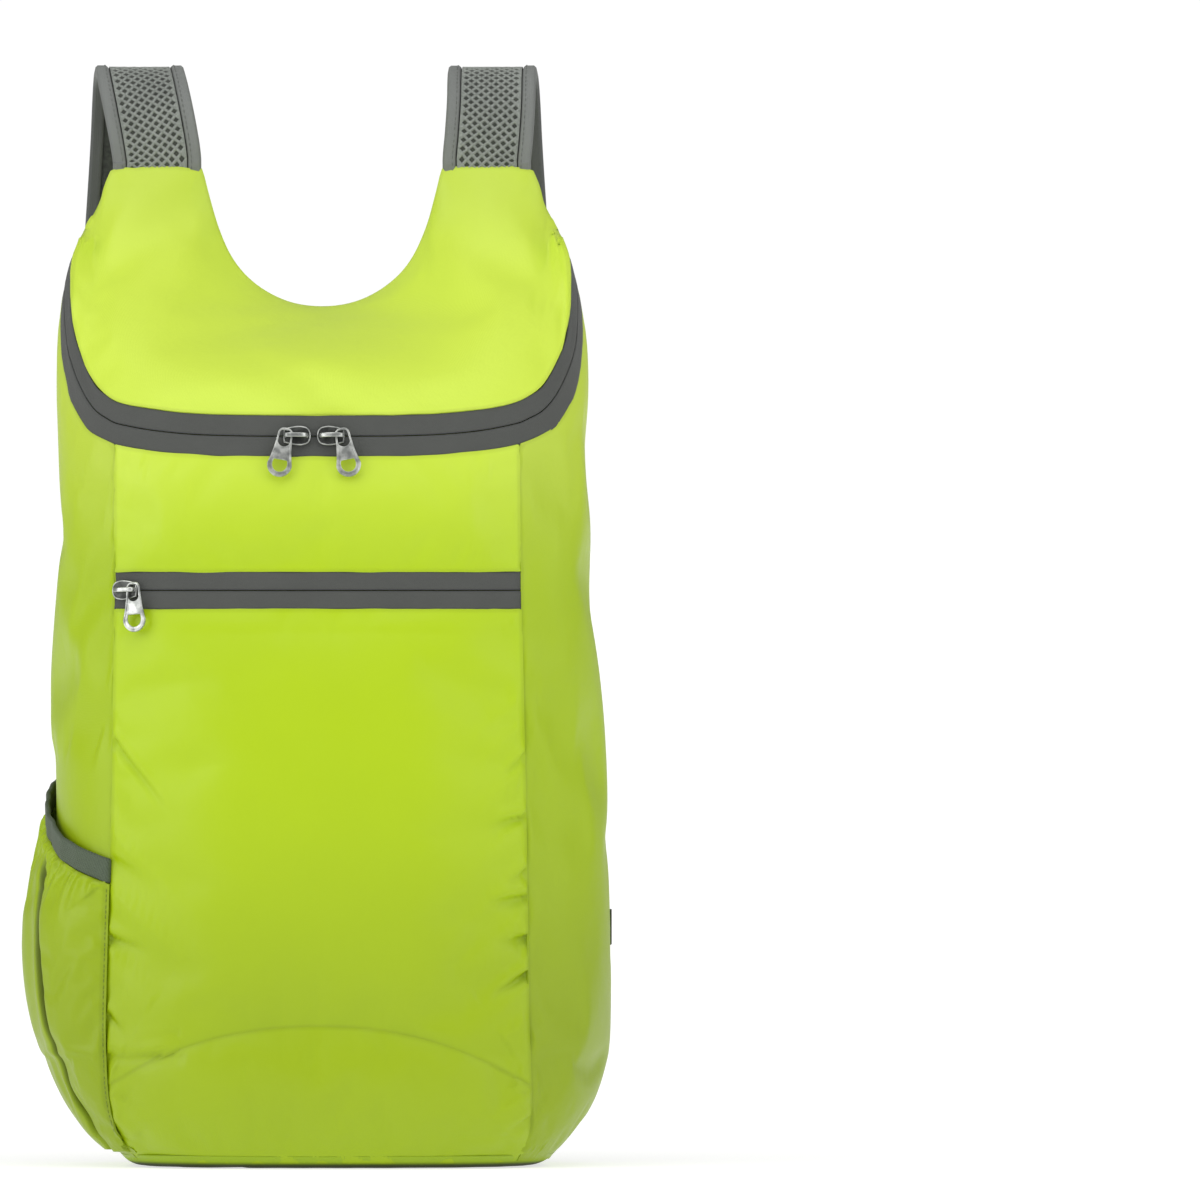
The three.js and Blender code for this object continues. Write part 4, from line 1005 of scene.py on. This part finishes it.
def cast_pull(node, finish):
    """A pull: a tapered plate with an eye at its top and a ring at its foot, and a raised edge all round."""
    outline = (
        bow((0, 3.4), (-3.2, 3.5), (-3.4, 0.5)) + bow((-3.4, 0.5), (-3.7, -6.5), (-5.6, -13.5), 14)
        + half_round((0, -13.5), 5.6, 5.6, 180, 360, 28)
        + bow((5.6, -13.5), (3.7, -6.5), (3.4, 0.5), 14) + bow((3.4, 0.5), (3.2, 3.5), (0, 3.4))
    )
    eye = (
        [(-1.8, 2.2)] + bow((1.8, 2.2), (2.5, 2.1), (2.6, 1.0), 5) + bow((2.6, 1.0), (2.8, -1), (2.8, -2.4), 5)
        + half_round((0, -2.4), 2.8, 2.8, 0, -180)
        + bow((-2.8, -2.4), (-2.8, -1), (-2.6, 1.0), 5) + bow((-2.6, 1.0), (-2.5, 2.1), (-1.8, 2.2), 5)
    )
    ring = (
        [(-2.7, -11.2)] + bow((2.7, -11.2), (3.3, -11.4), (3.4, -13.2), 6)
        + half_round((0, -13.2), 3.4, 3.6, 0, -180) + bow((-3.4, -13.2), (-3.3, -11.4), (-2.7, -11.2), 6)
    )
    place = seat_of(node, node)
    cast_plate(node + "_cast", outline, (eye, ring), 0.1, 0.95, 0.25, place, finish, node, node)
    edge = drawn_in(outline, 0.95)[::-1]
    cast_plate(node + "_edge", drawn_in(outline, 0.12), (edge,), 0.55, 1.25, 0.28, place, finish, node)


def cast_slider(node, pull, bright, dark):
    """A slider: a dark body with a bright edge, and a bar that bridges over the pull's eye."""
    outline = (
        bow((6.0, 3.1), (0, 4.9), (-2.7, 4.2)) + bow((-2.7, 4.2), (-6.1, 3.8), (-6.1, 0))
        + bow((-6.1, 0), (-6.1, -3.8), (-2.7, -4.2)) + bow((-2.7, -4.2), (0, -4.9), (6.0, -3.1))
        + bow((6.0, -3.1), (6.3, 0), (6.0, 3.1))
    )
    place = seat_of(node, pull)
    cast_plate(node + "_body", outline, (), 0.0, 1.7, 0.4, place, dark, "bag", node)
    edge = drawn_in(outline, 0.6)[::-1]
    cast_plate(node + "_edge", drawn_in(outline, 0.02), (edge,), 0.9, 2.0, 0.22, place, bright, "bag")
    line = [(5.3, 1.2), (5.3, 3.6), (4.9, 4.7), (3.6, 5.15), (0, 5.25), (-2.0, 5.0), (-3.9, 3.9), (-4.7, 1.4)]
    rows = []
    for i, (x, z) in enumerate(line):
        before, after = line[max(i - 1, 0)], line[min(i + 1, len(line) - 1)]
        run = Vector((after[0] - before[0], after[1] - before[1])).normalized()
        lift = Vector((run.y, 0, -run.x)) * 0.45
        if lift.z < 0 or (lift.z == 0 and i == 0):
            lift.negate()
        spot, half = Vector((x, 0, z)), Vector((0, 1.05, 0))
        row = (spot + lift - half, spot + lift + half, spot - lift + half, spot - lift - half)
        rows.append([place @ (corner * MM) for corner in row])
    ribbon(node + "_bridge", None, rows, bright, flats=4)


def zip_waver(along, across, through):
    """The tapes ride up and down a little where the coil holds them."""
    return 0.25 * noise.noise(Vector((along / 14, 2, across)))


def dress_zips():
    tape = woven_tape("zip tape", on_screen(78, 80, 77), 0.8, 0.06)
    for node in ZIP_TAPES:
        rows = sections_of(node, HEART)
        ease_shoulders(ribbon(node + "_cloth", node, rows, tape, waver=zip_waver))
    nickel = plated_metal("nickel plating", on_screen(146, 149, 146), on_screen(208, 210, 206))
    dark = plated_metal("darkened slider body", on_screen(52, 54, 52), on_screen(84, 86, 83))
    for pull, slider in (("main_pull_left", "main_slider_left"), ("main_pull_right", "main_slider_right"),
                         ("pocket_pull", "pocket_slider")):
        cast_pull(pull, nickel)
        cast_slider(slider, pull, nickel, dark)


# The side pocket's elastic and the tab

def elastic_waver(along, across, through):
    """The elastic puckers along its length."""
    return 0.5 * math.sin(along / 2.2) * (0.5 + noise.noise(Vector((along / 9, 0, 0))))


def dress_pocket_rim():
    elastic = woven_tape("pocket elastic", on_screen(82, 94, 76), 1.6, 0.25)
    rows = sections_of("side_pocket_binding", HEART)
    end, before = (rows[0], rows[1]) if rows[0][0].y < rows[-1][0].y else (rows[-1], rows[-2])
    for corner, inner in zip(end, before):
        corner += (corner - inner).normalized() * (1.7 * MM)
    ribbon("side_pocket_elastic", "side_pocket_binding", rows, elastic, flats=8, times=4,
           waver=elastic_waver)
    tape = woven_tape("tab tape", on_screen(44, 50, 36), 1.0, 0.1)
    tab = bevelled_copy("side_tab_folded", "side_tab", tape, 0.35)
    corners = [v.co for v in tab.data.vertices]
    low, high = min(c.z for c in corners), max(c.z for c in corners)
    keep_numbers(tab.data, along=[c.y for c in corners], across=[c.z for c in corners],
                 from_edge=[min(c.z - low, high - c.z) for c in corners])


# The shoulder straps

def strap_net(name, rows, finish):
    """The open knit over a pad: diamond holes between crossing yarns, raised along the yarns."""
    rows = finer(rows, 4)
    runs = runs_along(rows, 1)
    columns = 6
    half_rows = round(runs[-1] / (2.05 * MM))
    pitch = 2 * runs[-1] / half_rows

    def spot(across, run, lift):
        i = max(1, next((k for k, r in enumerate(runs) if r >= run), len(runs) - 1))
        past = (run - runs[i - 1]) / (runs[i] - runs[i - 1])
        row = [a.lerp(b, past) for a, b in zip(rows[i - 1], rows[i])]
        return on_section(row, across, 1) + outward(row) * (lift * MM)

    points, faces, knots = [], [], {}

    def knot(a, r):
        if (a, r) not in knots:
            knots[(a, r)] = len(points)
            points.append(spot(a / columns - 1, (r + 1) * pitch / 2, 0.0))
        return knots[(a, r)]

    for r in range(half_rows - 1):
        for a in range(2 * columns + 1):
            if (a + r) % 2 == 0:
                continue
            corners = [(a, r - 1), (a + 1, r), (a, r + 1), (a - 1, r)]
            held = [c for c in corners if 0 <= c[0] <= 2 * columns]
            ids = [knot(*c) for c in held]
            if len(held) == 3:
                faces.append(tuple(ids))
                continue
            inner = []
            for c in held:
                ca = a + (c[0] - a) * 0.6
                cr = r + (c[1] - r) * 0.6
                inner.append(len(points))
                points.append(spot(ca / columns - 1, (cr + 1) * pitch / 2, -0.45))
            for k in range(4):
                faces.append((ids[k], ids[(k + 1) % 4], inner[(k + 1) % 4], inner[k]))
    piece = new_piece(name, (points, [], faces), finish)
    face_outward(piece)
    thicken(piece, 0.35)


def along_ribbon(rows, across):
    """Points along a ribbon's outer face, each with its outward side."""
    return [(on_section(row, across, 1), outward(row)) for row in finer(rows, 6)]


def beside_edge(piece, where, inset):
    """Points just inside a sheet's edge, from the floor up, each with its outward side."""
    bm = opened(piece.data)
    bm.normal_update()
    path = []
    for vertex in sorted((v for v in bm.verts if v.is_boundary and where(v.co)), key=lambda v: v.co.z):
        inner = [e.other_vert(vertex).co for e in vertex.link_edges if not e.is_boundary]
        inward = (sum(inner, Vector()) / len(inner) - vertex.co).normalized()
        path.append((vertex.co + inward * (inset * MM), vertex.normal.copy()))
    bm.free()
    return path


def stitch_rows(name, paths, pitch, finish, length=0.62, width=0.45):
    """Rows of thread stitches along paths: each stitch is a rounded bar of four rings."""
    around = 6
    points, faces = [], []
    run, due = 0.0, pitch * MM
    for (before, _), (here, out) in (pair for path in paths for pair in zip(path, path[1:])):
        run += (here - before).length
        if run < due or here == before:
            continue
        due += pitch * MM
        forward = (here - before).normalized()
        aside = forward.cross(out)
        base = len(points)
        half = pitch * length / 2 * MM
        for reach, size in ((-1, 0.35), (-0.55, 1), (0.55, 1), (1, 0.35)):
            centre = here + forward * (reach * half) + out * (0.12 * size * MM)
            for k in range(around):
                turn = 2 * math.pi * k / around
                points.append(
                    centre + (aside * math.cos(turn) + out * math.sin(turn) * 0.7) * (width / 2 * size * MM)
                )
        for k in range(3):
            for j in range(around):
                a = base + around * k + j
                b = base + around * k + (j + 1) % around
                faces.append((a, b, b + around, a + around))
        faces.append(tuple(base + j for j in range(around))[::-1])
        faces.append(tuple(base + 3 * around + j for j in range(around)))
    face_outward(new_piece(name, (points, [], faces), finish))


def sink_foot(rows):
    """Sinks a strap's first section between the lid's top edge and the back panel's."""
    foot = rows[0] if rows[0][0].y < rows[-1][0].y else rows[-1]
    for corner in foot:
        corner.z -= 6 * MM
        corner.y = 63.3 * MM + (corner.y - 63.1 * MM) * 0.3


def box_stitch(rows, start, long):
    """The paths of a sewn box with its cross, on a ribbon's outer face from one end."""
    ends = [(-0.72, 0), (0.72, 0), (0.72, 1), (-0.72, 1), (-0.72, 0), (0.72, 1), (0.72, 0), (-0.72, 1)]
    steps = 32
    rows = finer(rows, 8)
    runs = runs_along(rows, 1)
    paths = []
    for (a, b), (c, d) in zip(ends, ends[1:]):
        path = []
        for k in range(steps + 1):
            run = (start + long * (b + (d - b) * k / steps)) * MM
            row = rows[min(range(len(rows)), key=lambda i: abs(runs[i] - run))]
            path.append((on_section(row, a + (c - a) * k / steps, 1), outward(row)))
        paths.append(path)
    return paths


def dress_straps():
    foam = knitted("strap foam", on_screen(38, 41, 37), on_screen(66, 70, 62), 700)
    net = knitted("strap net", on_screen(112, 117, 111), on_screen(150, 155, 148), 1200)
    # The binding is painted darker behind the bag, as shade on the straps' back runs
    binding = woven_tape("binding tape", on_screen(120, 123, 120), 0.9, 0.1, 0.45)
    webbing = woven_tape("webbing", on_screen(66, 70, 58), 1.3, 0.22)
    thread = knitted("binding thread", on_screen(80, 83, 79), on_screen(104, 108, 102), 2500)
    webbing_thread = knitted("webbing thread", on_screen(88, 93, 80), on_screen(118, 124, 108), 2500)
    plastic = moulded_plastic("buckle plastic")
    for side, x in (("left", -0.083), ("right", 0.083)):
        arch = Vector((x, 0.09, 0.38))
        rows = sections_of("strap_pad_" + side, arch)
        centre = on_section(rows[0], 0, 0)
        sink_foot(rows)
        corners = ((-1.07, 0.78), (1.07, 0.78), (1.07, -1), (-1.07, -1))
        slimmer = [[on_section(row, *corner) for corner in corners] for row in rows]
        pad = ribbon("strap_pad_foam_" + side, "strap_pad_" + side, slimmer, foam, flats=8)
        strap_net("strap_net_" + side, rows, net)
        for edge in ("inner", "outer"):
            node = f"strap_binding_{side}_{edge}"
            rows = sections_of(node, arch)
            sink_foot(rows)
            ribbon(node + "_tape", node, rows, binding)
            inward = 1 if (rows[0][1] - centre).length < (rows[0][0] - centre).length else -1
            stitch_rows(node + "_stitches", [along_ribbon(rows, 0.45 * inward)], 2.6, thread)
        for part in ("loop", "webbing"):
            node = f"strap_{part}_{side}"
            rows = sections_of(node, HEART)
            ribbon(node + "_woven", node, rows, webbing, flats=8, times=2)
            low = rows if rows[0][0].z < rows[-1][0].z else rows[::-1]
            sewn = box_stitch(low if part == "webbing" else low[::-1], 2.5, 15)
            stitch_rows(node + "_stitches", sewn, 2.2, webbing_thread, length=0.7, width=0.4)
        buckle = "strap_buckle_" + side
        bevelled_copy(buckle + "_moulded", buckle, plastic, 0.5)


def dress_back():
    # A darker copy of the lime nylon: painted shade on the back and the base, which face away from the lights
    shades = on_screen(146, 174, 12), on_screen(168, 198, 24), on_screen(190, 216, 58)
    nylon = lime_nylon("lime nylon in painted back shade", *shades, 0.95)
    close_shell("back_panel", nylon)
    close_shell("base_panel", nylon)
    for side in ("left", "right"):
        piece = bevelled_copy(f"strap_anchor_{side}_cloth", "strap_anchor_" + side, nylon, 0.5)
        keep_numbers(piece.data, from_seam=[0.01] * len(piece.data.vertices))


set_camera()
set_studio()
sew_panels()
dress_zips()
dress_pocket_rim()
dress_straps()
dress_back()
